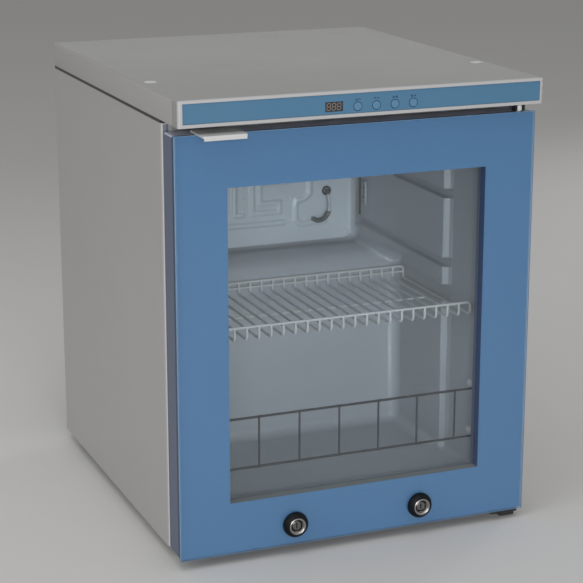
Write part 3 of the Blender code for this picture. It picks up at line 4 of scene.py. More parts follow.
import bmesh
import bpy
import numpy as np
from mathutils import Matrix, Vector

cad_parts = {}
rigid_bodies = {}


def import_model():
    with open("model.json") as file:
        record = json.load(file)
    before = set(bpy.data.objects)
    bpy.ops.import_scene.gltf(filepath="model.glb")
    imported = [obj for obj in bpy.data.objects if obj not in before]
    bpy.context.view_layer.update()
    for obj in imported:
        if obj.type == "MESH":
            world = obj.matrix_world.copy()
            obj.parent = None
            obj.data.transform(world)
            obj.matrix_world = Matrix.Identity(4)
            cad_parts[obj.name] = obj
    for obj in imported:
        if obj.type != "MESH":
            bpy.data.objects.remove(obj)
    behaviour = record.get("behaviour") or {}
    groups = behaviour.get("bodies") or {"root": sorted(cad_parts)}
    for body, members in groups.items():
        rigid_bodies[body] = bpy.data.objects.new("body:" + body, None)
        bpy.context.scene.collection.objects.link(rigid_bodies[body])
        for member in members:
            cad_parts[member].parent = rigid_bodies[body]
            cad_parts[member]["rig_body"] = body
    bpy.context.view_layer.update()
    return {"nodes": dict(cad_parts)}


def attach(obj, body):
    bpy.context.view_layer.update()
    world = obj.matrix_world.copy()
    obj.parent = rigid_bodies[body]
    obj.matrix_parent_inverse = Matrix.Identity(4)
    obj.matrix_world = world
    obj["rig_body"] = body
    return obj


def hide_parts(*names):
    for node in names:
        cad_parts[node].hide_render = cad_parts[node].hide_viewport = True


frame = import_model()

nodes = frame["nodes"]
frontY = -0.2265  # front face of the door glass; depths are counted back from it
mergeDistance = 1e-6
mm = 0.001


def deep(depth):
    return frontY + depth


print("warming cabinet: frame loaded,", len(nodes), "nodes")

# camera and studio

cameraView = dict(lens=113.49, place=(-0.8139, -2.0243, 0.8444), yaw=22.088, pitch=15.306,
                  shift=(0.0027, -0.003))
studio = dict(light=0.28, seen=(0.55, 0.55, 0.55), floor=(0.74, 0.735, 0.72), floorSize=14.0)
lamps = [
    dict(name="frontSoftbox", place=(-0.9, -3.6, 0.66), aim=(0.0, 0.0, 0.28), size=1.8, power=11.2,
         spread=62),
    dict(name="leftSoftbox", place=(-2.6, -0.9, 1.4), aim=(0.0, 0.0, 0.3), size=1.8, power=13),
    dict(name="overheadSoftbox", place=(-0.6, -0.9, 2.8), aim=(0.0, 0.0, 0.4), size=2.2, power=18),
    dict(name="rearSoftbox", place=(3.1, 1.9, 0.5), aim=(0.0, 0.2, 0.26), size=0.8, power=5.0,
         spread=62),
]


def newObject(name, data):
    obj = bpy.data.objects.new(name, data)
    bpy.context.scene.collection.objects.link(obj)
    return obj


def addNode(tree, kind, values=None, **settings):
    # settings come first; of the values, a socket is linked and a constant is set
    node = tree.nodes.new("ShaderNode" + kind)
    for name, value in settings.items():
        setattr(node, name, value)
    for key, value in (values or {}).items():
        if isinstance(value, bpy.types.NodeSocket):
            tree.links.new(value, node.inputs[key])
        else:
            node.inputs[key].default_value = value
    return node


def mathNode(tree, operation, *values):
    return addNode(tree, "Math", dict(enumerate(values)), operation=operation).outputs[0]


def setCamera(spec):
    data = bpy.data.cameras.new("camera")
    data.lens = spec["lens"]
    data.sensor_width = 36.0
    data.sensor_fit = "HORIZONTAL"
    data.shift_x, data.shift_y = spec["shift"]
    data.clip_end = 60.0
    obj = newObject("camera", data)
    obj.location = spec["place"]
    obj.rotation_euler = (math.radians(90 - spec["pitch"]), 0.0, math.radians(-spec["yaw"]))
    bpy.context.scene.camera = obj


def seenDirectly(tree):
    # one where the camera, a reflection or a refraction looks
    path = addNode(tree, "LightPath").outputs
    either = mathNode(tree, "MAXIMUM", path["Is Camera Ray"], path["Is Glossy Ray"])
    return mathNode(tree, "MAXIMUM", either, path["Is Transmission Ray"])


def setWorld(spec):
    world = bpy.data.worlds.new("studio")
    world.use_nodes = True
    tree = world.node_tree
    tree.nodes.clear()
    glow = addNode(tree, "Background", dict(Color=(1.0, 0.995, 0.985, 1.0), Strength=spec["light"]))
    seen = addNode(tree, "Background", dict(Color=(*spec["seen"], 1.0), Strength=1.0))
    mix = addNode(tree, "MixShader", {0: seenDirectly(tree), 1: glow.outputs[0], 2: seen.outputs[0]})
    addNode(tree, "OutputWorld", {0: mix.outputs[0]})
    bpy.context.scene.world = world


def setLamp(spec):
    data = bpy.data.lights.new(spec["name"], "AREA")
    data.shape = "SQUARE"
    data.size = spec["size"]
    data.energy = spec["power"]
    data.spread = math.radians(spec.get("spread", 180))
    obj = newObject(spec["name"], data)
    obj.location = spec["place"]
    aim = Vector(spec["aim"]) - Vector(spec["place"])
    obj.rotation_euler = aim.to_track_quat("-Z", "Y").to_euler()


# shader groups, each built once

socketKinds = {1: "NodeSocketFloat", 3: "NodeSocketVector", 4: "NodeSocketColor"}


def newGroup(name, outputs, **inputs):
    # an input's kind follows from the length of its default value
    group = bpy.data.node_groups.new(name, "ShaderNodeTree")
    for label, value in inputs.items():
        socket = group.interface.new_socket(label, in_out="INPUT",
                                            socket_type=socketKinds[np.size(value)])
        socket.default_value = value
    for label in outputs:
        kind = socketKinds[4 if label == "Color" else 1]
        group.interface.new_socket(label, in_out="OUTPUT", socket_type=kind)
    return group, group.nodes.new("NodeGroupInput").outputs, group.nodes.new("NodeGroupOutput").inputs


def objectPlace(tree):
    return addNode(tree, "TexCoord").outputs["Object"]


def noiseNode(tree, place, scale, detail=2.0, rough=0.5):
    return addNode(tree, "TexNoise", dict(Vector=place, Scale=scale, Detail=detail,
                                          Roughness=rough)).outputs["Fac"]


def vectorNode(tree, operation, *values):
    return addNode(tree, "VectorMath", dict(enumerate(values)), operation=operation).outputs


def scaledColor(tree, color, factor):
    return addNode(tree, "VectorMath", {0: color, "Scale": factor}, operation="SCALE").outputs[0]


def swing(tree, noise, amount):
    # amount times the noise, moved down by a half
    return mathNode(tree, "MULTIPLY", mathNode(tree, "SUBTRACT", noise, 0.5), amount)


def buildToneDrift():
    # colour times 1 plus amount times slow noise
    group, inp, out = newGroup("toneDrift", ["Color"], Color=(0.5, 0.5, 0.5, 1), Amount=0.05, Scale=6.0)
    slow = noiseNode(group, objectPlace(group), inp["Scale"], 4.0, 0.55)
    factor = mathNode(group, "MULTIPLY_ADD", swing(group, slow, inp["Amount"]), 2.0, 1.0)
    group.links.new(scaledColor(group, inp["Color"], factor), out["Color"])
    return group


def buildSurfaceGrain():
    # fine and coarse noise summed to a height
    group, inp, out = newGroup("surfaceGrain", ["Height"], Fine=900.0, Coarse=120.0, Share=0.4)
    place = objectPlace(group)
    coarse = mathNode(group, "MULTIPLY", noiseNode(group, place, inp["Coarse"]), inp["Share"])
    height = mathNode(group, "ADD", noiseNode(group, place, inp["Fine"]), coarse)
    group.links.new(height, out["Height"])
    return group


def buildRoughDrift():
    # roughness swings round its base with smears and fine specks
    group, inp, out = newGroup("roughDrift", ["Roughness"], Base=0.4, Spread=0.1, Scale=14.0)
    slow = noiseNode(group, objectPlace(group), inp["Scale"], 5.0, 0.6)
    total = mathNode(group, "ADD", inp["Base"], swing(group, slow, inp["Spread"]))
    group.links.new(mathNode(group, "MAXIMUM", total, 0.02), out["Roughness"])
    return group


def buildSettledDust():
    # mask of fine dust on faces that look up, broken by noise
    group, inp, out = newGroup("settledDust", ["Mask"], Amount=0.2, Scale=40.0)
    normal = addNode(group, "NewGeometry").outputs["Normal"]
    up = mathNode(group, "MAXIMUM", addNode(group, "SeparateXYZ", {0: normal}).outputs["Z"], 0.0)
    cloud = noiseNode(group, objectPlace(group), inp["Scale"], 6.0, 0.7)
    specks = mathNode(group, "MULTIPLY", up, mathNode(group, "POWER", cloud, 2.0))
    group.links.new(mathNode(group, "MULTIPLY", specks, inp["Amount"]), out["Mask"])
    return group


def buildDrawnLines():
    # noise stretched along one axis, as drawing or brushing leaves it
    group, inp, out = newGroup("drawnLines", ["Height"], Stretch=(1.0, 1.0, 40.0), Scale=60.0)
    place = vectorNode(group, "MULTIPLY", objectPlace(group), inp["Stretch"])[0]
    group.links.new(noiseNode(group, place, inp["Scale"], 3.0, 0.6), out["Height"])
    return group


def buildCells():
    # cell value and cell edge of a voronoi pattern, for spangle and foam
    group, inp, out = newGroup("cells", ["Value", "Edge"], Scale=80.0)
    cell = addNode(group, "TexVoronoi", dict(Vector=objectPlace(group), Scale=inp["Scale"])).outputs
    group.links.new(addNode(group, "SeparateColor", {0: cell["Color"]}).outputs[0], out["Value"])
    group.links.new(cell["Distance"], out["Edge"])
    return group


def buildRingMark():
    # one on a thin ring round a centre in the XZ plane, and on the disc inside it
    group, inp, out = newGroup("ringMark", ["Ring", "Disc"], Centre=(0, 0, 0), Radius=0.004,
                               Width=0.0004)
    away = vectorNode(group, "SUBTRACT", objectPlace(group), inp["Centre"])[0]
    flat = vectorNode(group, "MULTIPLY", away, (1, 0, 1))[0]
    size = vectorNode(group, "LENGTH", flat)["Value"]
    off = mathNode(group, "ABSOLUTE", mathNode(group, "SUBTRACT", size, inp["Radius"]))
    inside = mathNode(group, "MINIMUM", mathNode(group, "DIVIDE", off, inp["Width"]), 1.0)
    group.links.new(mathNode(group, "SUBTRACT", 1.0, inside), out["Ring"])
    group.links.new(mathNode(group, "LESS_THAN", size, inp["Radius"]), out["Disc"])
    return group


def buildPatch():
    # one inside a box of object space whose x is taken on both sides
    group, inp, out = newGroup("patch", ["Mask"], Low=(0, 0, 0), High=(0, 0, 0))
    place, low, high = [addNode(group, "SeparateXYZ", {0: vector}).outputs
                        for vector in (objectPlace(group), inp["Low"], inp["High"])]
    mask = 1.0
    for index in range(3):
        value = place[index] if index else mathNode(group, "ABSOLUTE", place[index])
        over = mathNode(group, "GREATER_THAN", value, low[index])
        under = mathNode(group, "LESS_THAN", value, high[index])
        mask = mathNode(group, "MULTIPLY", mathNode(group, "MULTIPLY", over, under), mask)
    group.links.new(mask, out["Mask"])
    return group


toneDrift = buildToneDrift()
surfaceGrain = buildSurfaceGrain()
roughDrift = buildRoughDrift()
settledDust = buildSettledDust()
drawnLines = buildDrawnLines()
cells = buildCells()
ringMark = buildRingMark()
patch = buildPatch()


def placeGroup(tree, group, **values):
    return addNode(tree, "Group", values, node_tree=group).outputs


def mixedColor(tree, mask, below, above):
    return addNode(tree, "Mix", {0: mask, 6: below, 7: (*above, 1.0)}, data_type="RGBA").outputs[2]


def newMaterial(name, shown, **values):
    mat = bpy.data.materials.new(name)
    mat.use_nodes = True
    mat.diffuse_color = shown
    shader = mat.node_tree.nodes["Principled BSDF"]
    for label, value in values.items():
        shader.inputs[label.replace("_", " ")].default_value = value
    return mat, mat.node_tree, shader.inputs


def spot(x, depths, z, color):
    # a patch of another colour inside a box, with x taken on both sides
    return dict(low=(x[0], deep(depths[0]), z[0]), high=(x[1], deep(depths[1]), z[1]), color=color)


def makeFinish(name, color, rough, metallic=0.0, tone=0.04, toneScale=7.0, fine=900.0, coarse=120.0,
               share=0.4, depth=0.00003, bump=0.25, spread=0.08, dust=0.0, spec=0.5, lines=None,
               spangle=None, cellScale=None, ring=None, patches=()):
    mat, tree, shader = newMaterial(name, (*color, 1.0), Metallic=metallic, Specular_IOR_Level=spec)
    shade = placeGroup(tree, toneDrift, Color=(*color, 1.0), Amount=tone, Scale=toneScale)["Color"]
    if spangle:
        flakes = placeGroup(tree, cells, Scale=spangle["scale"])["Value"]
        factor = mathNode(tree, "MULTIPLY_ADD", flakes, spangle["amount"], 1.0 - spangle["amount"] / 2)
        shade = scaledColor(tree, shade, factor)
    if ring:
        mark = placeGroup(tree, ringMark, Centre=ring["centre"], Radius=ring["radius"],
                          Width=ring["width"])
        shade = mixedColor(tree, mark["Disc"], shade, ring["inside"])
        shade = mixedColor(tree, mark["Ring"], shade, ring["line"])
    for item in patches:
        mask = placeGroup(tree, patch, Low=item["low"], High=item["high"])["Mask"]
        shade = mixedColor(tree, mask, shade, item["color"])
    if dust:
        mask = placeGroup(tree, settledDust, Amount=dust, Scale=45.0)["Mask"]
        shade = mixedColor(tree, mask, shade, (0.42, 0.4, 0.37))
    tree.links.new(shade, shader["Base Color"])
    soft = placeGroup(tree, roughDrift, Base=rough, Spread=spread, Scale=14.0)["Roughness"]
    tree.links.new(soft, shader["Roughness"])
    if cellScale:
        height = placeGroup(tree, cells, Scale=cellScale)["Edge"]
    elif lines:
        height = placeGroup(tree, drawnLines, Stretch=lines["stretch"], Scale=lines["scale"])["Height"]
    else:
        height = placeGroup(tree, surfaceGrain, Fine=fine, Coarse=coarse, Share=share)["Height"]
    relief = addNode(tree, "Bump", dict(Strength=bump, Distance=depth, Height=height))
    tree.links.new(relief.outputs[0], shader["Normal"])
    return mat


def makeGlass(name, tint, rough, spec):
    # clear for shadows and soft light, refracting for everything that is looked through
    mat, tree, shader = newMaterial(name, (*tint, 0.3), Transmission_Weight=1.0,
                                    Specular_IOR_Level=spec, IOR=1.45)
    drift = placeGroup(tree, toneDrift, Color=(*tint, 1.0), Amount=0.02, Scale=5.0)
    tree.links.new(drift["Color"], shader["Base Color"])
    smear = placeGroup(tree, roughDrift, Base=rough, Spread=0.02, Scale=9.0)
    tree.links.new(smear["Roughness"], shader["Roughness"])
    path = addNode(tree, "LightPath").outputs
    soft = mathNode(tree, "MAXIMUM", path["Is Shadow Ray"], path["Is Diffuse Ray"])
    clear = addNode(tree, "BsdfTransparent", dict(Color=(*[c ** 0.5 for c in tint], 1.0)))
    glass = tree.nodes["Principled BSDF"].outputs[0]
    mix = addNode(tree, "MixShader", {0: soft, 1: glass, 2: clear.outputs[0]})
    tree.links.new(mix.outputs[0], tree.nodes["Material Output"].inputs["Surface"])
    return mat


# surfaces on grids

def gridFaces(rows, cols, wrapRows=False, wrapCols=False):
    r = np.arange(rows if wrapRows else rows - 1)
    c = np.arange(cols if wrapCols else cols - 1)
    rr, cc = np.meshgrid(r, c, indexing="ij")
    r2, c2 = (rr + 1) % rows, (cc + 1) % cols
    return np.stack([rr * cols + cc, rr * cols + c2, r2 * cols + c2, r2 * cols + cc],
                    -1).reshape(-1, 4)


def meshObject(name, mesh, bm, angle, finish):
    # the bmesh written back, smooth but for the edges past the angle
    bm.to_mesh(mesh)
    bm.free()
    mesh.shade_smooth()
    mesh.set_sharp_from_angle(angle=math.radians(angle))
    mesh.materials.append(finish)
    return newObject(name, mesh)


def makePiece(name, parts, body, finish, sharp=40.0, replaced=(), solid=0.0, outward=True):
    # joins (points, faces) pairs into one object, closes its seams and turns its faces outward
    verts, faces, start = [], [], 0
    for points, quads in parts:
        points = np.asarray(points, float).reshape(-1, 3)
        verts.append(points)
        faces += [[int(i) + start for i in face] for face in quads]
        start += len(points)
    mesh = bpy.data.meshes.new(name)
    mesh.from_pydata(np.concatenate(verts).tolist(), [], faces)
    bm = bmesh.new()
    bm.from_mesh(mesh)
    bmesh.ops.remove_doubles(bm, verts=bm.verts, dist=mergeDistance)
    bmesh.ops.dissolve_degenerate(bm, dist=mergeDistance / 10, edges=bm.edges)
    if outward:
        bmesh.ops.recalc_face_normals(bm, faces=bm.faces)
    obj = meshObject(name, mesh, bm, sharp, finish)
    if solid:
        shell = obj.modifiers.new("wall", "SOLIDIFY")
        shell.thickness = solid
        shell.offset = -1.0
    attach(obj, body)
    if replaced:
        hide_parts(*replaced)
    return obj


def softened(finish, width, *names, angle=32.0, crisp=None):
    # the CAD pieces with their doubles merged, their edges eased and their round faces smooth;
    # crisp is a box, x on both sides, whose edges stay hard
    for node in names:
        bm = bmesh.new()
        bm.from_mesh(nodes[node].data)
        bmesh.ops.remove_doubles(bm, verts=bm.verts, dist=mergeDistance)
        bmesh.ops.dissolve_limit(bm, angle_limit=math.radians(0.8), verts=bm.verts, edges=bm.edges)
        mesh = bpy.data.meshes.new(node + "_eased")
        obj = meshObject(node + "_eased", mesh, bm, angle, finish)
        if crisp:
            place = np.array([v.co for v in mesh.vertices])
            place[:, 0] = np.abs(place[:, 0])
            inside = np.all((place > crisp[0]) & (place < crisp[1]), axis=1)
            for edge in mesh.edges:
                if inside[edge.vertices[0]] and inside[edge.vertices[1]]:
                    edge.use_edge_sharp = True
        if width:
            ease = obj.modifiers.new("ease", "BEVEL")
            ease.width = width
            ease.segments = 2
            ease.limit_method = "ANGLE"
            ease.angle_limit = math.radians(angle)
            ease.use_clamp_overlap = True
            ease.harden_normals = False
        flat = obj.modifiers.new("flat", "WEIGHTED_NORMAL")
        flat.keep_sharp = True
        flat.weight = 80
        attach(obj, nodes[node]["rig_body"])
        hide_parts(node)


def dress(finish, *names):
    for node in names:
        mesh = nodes[node].data
        mesh.materials.clear()
        mesh.materials.append(finish)


def circle(sides):
    return np.linspace(0, 2 * np.pi, sides, endpoint=False)


def tube(path, radius, sides=12, ref=(0.0, 0.0, 1.0), closed=False):
    # a circle carried along the path: point plus radius times (cos a normal plus sin a binormal)
    path = np.asarray(path, float)
    if closed:
        along = np.roll(path, -1, 0) - np.roll(path, 1, 0)
    else:
        along = np.gradient(path, axis=0)
    along /= np.linalg.norm(along, axis=1, keepdims=True)
    normal = np.cross(along, np.asarray(ref, float))
    normal /= np.linalg.norm(normal, axis=1, keepdims=True)
    binormal = np.cross(along, normal)
    a = circle(sides)
    ring = np.cos(a)[None, :, None] * normal[:, None] + np.sin(a)[None, :, None] * binormal[:, None]
    points = path[:, None] + np.asarray(radius).reshape(-1, 1, 1) * ring
    quads = gridFaces(len(path), sides, wrapRows=closed, wrapCols=True).tolist()
    if not closed:
        last = (len(path) - 1) * sides
        quads.append(list(range(sides))[::-1])
        quads.append(list(range(last, last + sides)))
    return points.reshape(-1, 3), quads


def bentPath(corners, radius, steps=6, closed=False):
    # straight runs joined by arcs of one radius at each corner
    corners = np.asarray(corners, float)
    count = len(corners)
    inner = range(count) if closed else range(1, count - 1)
    out = [] if closed else [corners[:1]]
    for i in inner:
        a, b, c = corners[i - 1], corners[i], corners[(i + 1) % count]
        u = (a - b) / np.linalg.norm(a - b)
        v = (c - b) / np.linalg.norm(c - b)
        half = math.acos(np.clip(np.dot(u, v), -1, 1)) / 2
        reach = radius / math.tan(half)
        mid = b + (u + v) / np.linalg.norm(u + v) * radius / math.sin(half)
        p, q = b + u * reach - mid, b + v * reach - mid
        t = np.linspace(0, 1, steps + 1)[:, None]
        arc = p * (1 - t) + q * t
        out.append(mid + arc / np.linalg.norm(arc, axis=1, keepdims=True) * radius)
    if not closed:
        out.append(corners[-1:])
    return np.concatenate(out)


def smoothPath(knots, steps=8):
    # Catmull-Rom curve through the knots
    k = np.asarray(knots, float)
    k = np.concatenate([2 * k[:1] - k[1:2], k, 2 * k[-1:] - k[-2:-1]])
    t = np.linspace(0, 1, steps, endpoint=False)[:, None, None]
    p0, p1, p2, p3 = k[:-3], k[1:-2], k[2:-1], k[3:]
    curve = 0.5 * (2 * p1 + (p2 - p0) * t + (2 * p0 - 5 * p1 + 4 * p2 - p3) * t ** 2
                   + (3 * p1 - p0 - 3 * p2 + p3) * t ** 3)
    return np.concatenate([curve.transpose(1, 0, 2).reshape(-1, 3), k[-2:-1]])


def turned(profile, centre, axis, sides=48, closed=False):
    # the profile (radius, height) spun about an axis through the centre
    profile = np.asarray(profile, float)
    axis = np.asarray(axis, float)
    u = np.array([0.0, 0.0, 1.0]) if abs(axis[2]) < 0.5 else np.array([1.0, 0.0, 0.0])
    v = np.cross(axis, u)
    a = circle(sides)
    ring = np.cos(a)[:, None] * u + np.sin(a)[:, None] * v
    points = profile[:, 0][:, None, None] * ring[None] + profile[:, 1][:, None, None] * axis
    points = points + np.asarray(centre, float)
    return points.reshape(-1, 3), gridFaces(len(profile), sides, wrapRows=closed, wrapCols=True)


def weldBead(half, place, sides):
    # a small turned bead from the upper half of its profile
    return turned(half + [(r, -height) for r, height in half[::-1]], place, (0, 0, 1), sides)


def outline(a0, a1, b0, b1, radii, steps=8):
    # rectangle with four rounded corners, as (n, 2) points counter-clockwise
    radii = np.asarray(radii if np.ndim(radii) else [radii] * 4, float)
    cx = np.array([a1 - radii[0], a1 - radii[1], a0 + radii[2], a0 + radii[3]])
    cy = np.array([b0 + radii[0], b1 - radii[1], b1 - radii[2], b0 + radii[3]])
    start = np.radians([-90, 0, 90, 180])
    angle = start[:, None] + np.linspace(0, np.pi / 2, steps + 1)[None]
    x = cx[:, None] + radii[:, None] * np.cos(angle)
    y = cy[:, None] + radii[:, None] * np.sin(angle)
    return np.stack([x.ravel(), y.ravel()], -1)


def atHeight(flat, z):
    return np.stack([flat[:, 0], flat[:, 1], np.full(len(flat), z)], -1)


def atDepth(flat, depth):
    return np.stack([flat[:, 0], np.full(len(flat), deep(depth)), flat[:, 1]], -1)


def loft(rings):
    # a closed skin over a stack of rings with the same number of points
    rings = np.asarray(rings, float)
    count, size = rings.shape[:2]
    quads = gridFaces(count, size, wrapCols=True).tolist()
    quads.append(list(range(size))[::-1])
    quads.append(list(range((count - 1) * size, count * size)))
    return rings.reshape(-1, 3), quads


def frameSweep(half, low, high, corner, profile, steps=8):
    # a closed profile of (outward offset, depth) carried round an upright rounded rectangle
    rings = []
    for offset, depth in profile:
        flat = outline(-half - offset, half + offset, low - offset, high + offset,
                       max(corner + offset, 0.0002), steps)
        rings.append(atDepth(flat, depth))
    rings = np.asarray(rings)
    return rings.reshape(-1, 3), gridFaces(len(rings), rings.shape[1], wrapRows=True, wrapCols=True)


def makeFloor(spec):
    count = 9
    t = np.linspace(-spec["floorSize"], spec["floorSize"], count)
    x, y = np.meshgrid(t, t, indexing="ij")
    mesh = bpy.data.meshes.new("studioFloor")
    mesh.from_pydata(np.stack([x, y, 0 * x - 0.0001], -1).reshape(-1, 3).tolist(), [],
                     gridFaces(count, count)[:, ::-1].tolist())
    mesh.materials.append(makeFinish("floorPaint", spec["floor"], 0.9, tone=0.01, depth=0.0001,
                                     bump=0.05, spec=0.0))
    newObject("studioFloor", mesh)


setCamera(cameraView)
setWorld(studio)
for spec in lamps:
    setLamp(spec)
makeFloor(studio)
print("studio set")

# finishes

# the cover's sides carry painted light: a paler band where light falls on the side, a darker band of
# painted shade at the front end and a dark line of painted shade in the seam between them
coverPaint = makeFinish(
    "coverPaint", (0.3, 0.3, 0.29), 0.3, tone=0.03, coarse=60.0, share=0.9, depth=0.00002, bump=0.2,
    spread=0.1, dust=0.02, spec=0.25,
    patches=[spot((0.2143, 0.216), (0.0042, 0.49), (0.5, 0.53), (0.43, 0.42, 0.42)),
             spot((0.2143, 0.216), (-0.011, 0.0036), (0.5, 0.53), (0.33, 0.33, 0.32)),
             spot((0.2143, 0.216), (0.0034, 0.0044), (0.5, 0.53), (0.16, 0.16, 0.16))])
# the side panels carry painted light: a painted highlight on the rounded front edge of the flange,
# painted shade on the flange's inner strip and a dark line of painted shade along the top seam under the
# cover
sidePaint = makeFinish(
    "sidePaint", (0.42, 0.41, 0.41), 0.3, tone=0.035, toneScale=4.0, coarse=70.0, share=0.9,
    depth=0.00002, bump=0.2, spread=0.12, spec=0.35,
    patches=[spot((0.2124, 0.216), (0.043, 0.047), (0.0, 0.4975), (0.86, 0.85, 0.87)),
             spot((0.206, 0.2124), (0.043, 0.0462), (0.0, 0.4975), (0.16, 0.18, 0.23)),
             spot((0.0, 0.216), (0.03, 0.48), (0.4986, 0.503), (0.03, 0.03, 0.032))])
whitePlastic = makeFinish(
    "whitePlastic", (0.6, 0.6, 0.6), 0.32, tone=0.03, fine=1600.0, depth=0.00001, bump=0.2, dust=0.05)
rimPlastic = makeFinish(
    "rimPlastic", (0.45, 0.45, 0.46), 0.32, tone=0.03, fine=1600.0, depth=0.00001, bump=0.2)
# the dark strip near the rear corner of the side wall is painted shade standing in for a slit
linerPlastic = makeFinish(
    "linerPlastic", (0.39, 0.425, 0.465), 0.42, tone=0.03, toneScale=5.0, fine=700.0, coarse=60.0,
    share=0.9, depth=0.00001, bump=0.15,
    patches=[spot((0.18, 0.1862), (0.05, 0.066), (0.08, 0.17), (0.6, 0.61, 0.61)),
             spot((0.169, 0.18), (0.3925, 0.3962), (0.292, 0.452), (0.05, 0.055, 0.065))])
# three dark dots on the sensor cover are painted shade standing in for its holes
sensorPlastic = makeFinish(
    "sensorPlastic", (0.3, 0.33, 0.37), 0.42, tone=0.03, fine=1400.0, depth=0.00001,
    patches=[spot((0.168, 0.18), (0.3745, 0.379), (z, z + 0.0024), (0.03, 0.03, 0.035))
             for z in (0.319, 0.325, 0.331)])
zincSheet = makeFinish(
    "zincSheet", (0.46, 0.47, 0.48), 0.38, metallic=0.85, tone=0.05,
    spangle=dict(scale=140.0, amount=0.22), depth=0.00002, spread=0.18)
steelPlain = makeFinish(
    "steelPlain", (0.52, 0.52, 0.53), 0.3, metallic=1.0, tone=0.05,
    lines=dict(stretch=(60.0, 1.0, 1.0), scale=40.0), depth=0.00002, spread=0.12)
chromePlate = makeFinish(
    "chromePlate", (0.7, 0.69, 0.67), 0.12, metallic=1.0, toneScale=60.0, fine=2500.0, depth=0.000005,
    bump=0.15, spread=0.1)
darkWire = makeFinish(
    "darkWire", (0.016, 0.018, 0.024), 0.55, tone=0.08, toneScale=30.0, fine=1800.0, depth=0.00001,
    bump=0.3, spread=0.15, spec=0.25)
whiteWire = makeFinish(
    "whiteWire", (0.6, 0.61, 0.62), 0.38, tone=0.05, toneScale=40.0, fine=2200.0, coarse=400.0, bump=0.3)
plugMetal = makeFinish(
    "plugMetal", (0.22, 0.215, 0.21), 0.26, metallic=1.0, tone=0.05,
    lines=dict(stretch=(1.0, 1.0, 1.0), scale=500.0), depth=0.00001, spread=0.12)
rimMetal = makeFinish(
    "rimMetal", (0.36, 0.35, 0.34), 0.24, metallic=1.0, tone=0.06, toneScale=60.0, fine=2200.0,
    depth=0.00001, bump=0.2, spread=0.12)
bezelPlastic = makeFinish(
    "bezelPlastic", (0.005, 0.006, 0.008), 0.42, tone=0.12, toneScale=50.0, fine=2400.0, depth=0.00001,
    spec=0.14)
blackShell = dict(
    color=(0.012, 0.012, 0.013), rough=0.28, tone=0.15, toneScale=50.0, fine=2400.0, depth=0.00001)
blackPlastic = makeFinish("blackPlastic", dust=0.03, **blackShell)
# the pale strip on the upper hinge bush is a painted highlight where the chrome pin shows
bushPlastic = makeFinish(
    "bushPlastic", **blackShell,
    patches=[spot((0.1945, 0.199), (-0.01, 0.01), (0.4, 0.51), (0.62, 0.62, 0.63))])
blackMetal = makeFinish(
    "blackMetal", (0.016, 0.016, 0.018), 0.4, tone=0.15, toneScale=30.0, fine=1500.0, coarse=500.0,
    bump=0.4, dust=0.04)
# the pale band over the door frame's top face is painted light, lighter than the rest of the frame
greyPlastic = makeFinish(
    "greyPlastic", (0.105, 0.13, 0.195), 0.45, tone=0.05, fine=1400.0, bump=0.35,
    patches=[spot((0.2135, 0.216), (0.005, 0.0112), (0.0, 0.5), (0.022, 0.05, 0.13)),
             spot((0.0, 0.216), (0.0112, 0.037), (0.4893, 0.5), (0.5, 0.52, 0.64))])
sealRubber = makeFinish(
    "sealRubber", (0.42, 0.43, 0.44), 0.62, tone=0.06, toneScale=20.0, fine=1300.0, bump=0.3)
footRubber = makeFinish(
    "footRubber", (0.02, 0.02, 0.02), 0.72, tone=0.2, toneScale=60.0, fine=1800.0, coarse=500.0,
    depth=0.00006, bump=0.6)
# the paler band at the outer edges of the print is a painted highlight along the pane's edge
bluePrint = makeFinish(
    "bluePrint", (0.08, 0.195, 0.37), 0.6, tone=0.025, toneScale=3.0, fine=1800.0, depth=0.000001,
    bump=0.02, spec=0.1,
    patches=[spot((0.2124, 0.215), (0.0038, 0.0054), (0.0, 0.5), (0.135, 0.25, 0.4))])
blueFilm = makeFinish(
    "blueFilm", (0.078, 0.19, 0.31), 0.36, tone=0.03, toneScale=9.0, fine=1600.0, depth=0.00001,
    spec=0.3)
# the grey band on the spacer's lower reveal is painted light
navyTrim = makeFinish(
    "navyTrim", (0.004, 0.04, 0.14), 0.65, tone=0.08, toneScale=20.0, fine=1500.0, depth=0.00002,
    bump=0.3, spec=0.1,
    patches=[spot((0.0, 0.1545), (0.004, 0.017), (0.06, 0.0736), (0.2, 0.215, 0.215))])
displayDark = makeFinish(
    "displayDark", (0.04, 0.032, 0.03), 0.18, tone=0.1, toneScale=80.0, fine=2500.0, depth=0.000003,
    bump=0.1)
digitPale = makeFinish(
    "digitPale", (0.2, 0.185, 0.17), 0.4, tone=0.05, toneScale=200.0, fine=3000.0, depth=0.000002,
    bump=0.1)
markInk = makeFinish(
    "markInk", (0.02, 0.045, 0.13), 0.4, tone=0.06, toneScale=200.0, fine=3000.0, depth=0.000002,
    bump=0.1)
boardLaminate = makeFinish(
    "boardLaminate", (0.02, 0.12, 0.05), 0.35, tone=0.12, toneScale=80.0, fine=1800.0, depth=0.00002)
foamYellow = makeFinish(
    "foamYellow", (0.62, 0.5, 0.24), 0.85, tone=0.12, toneScale=18.0, cellScale=520.0, depth=0.0004,
    bump=0.6,
    patches=[spot((0.04, 0.13), (0.04, 0.075), (0.018, 0.056), (0.022, 0.022, 0.022))])
plateAluminium = makeFinish(
    "plateAluminium", (0.5, 0.55, 0.6), 0.38, metallic=0.1, toneScale=12.0, fine=1200.0, coarse=150.0,
    bump=0.2, spread=0.12)
heaterFilm = makeFinish(
    "heaterFilm", (0.52, 0.22, 0.04), 0.3, tone=0.06, lines=dict(stretch=(1.0, 1.0, 30.0), scale=25.0),
    depth=0.00006, bump=0.5)
copper = makeFinish(
    "copperTube", (0.62, 0.28, 0.15), 0.28, metallic=1.0, tone=0.12, toneScale=25.0, fine=1500.0,
    depth=0.00002, spread=0.2)
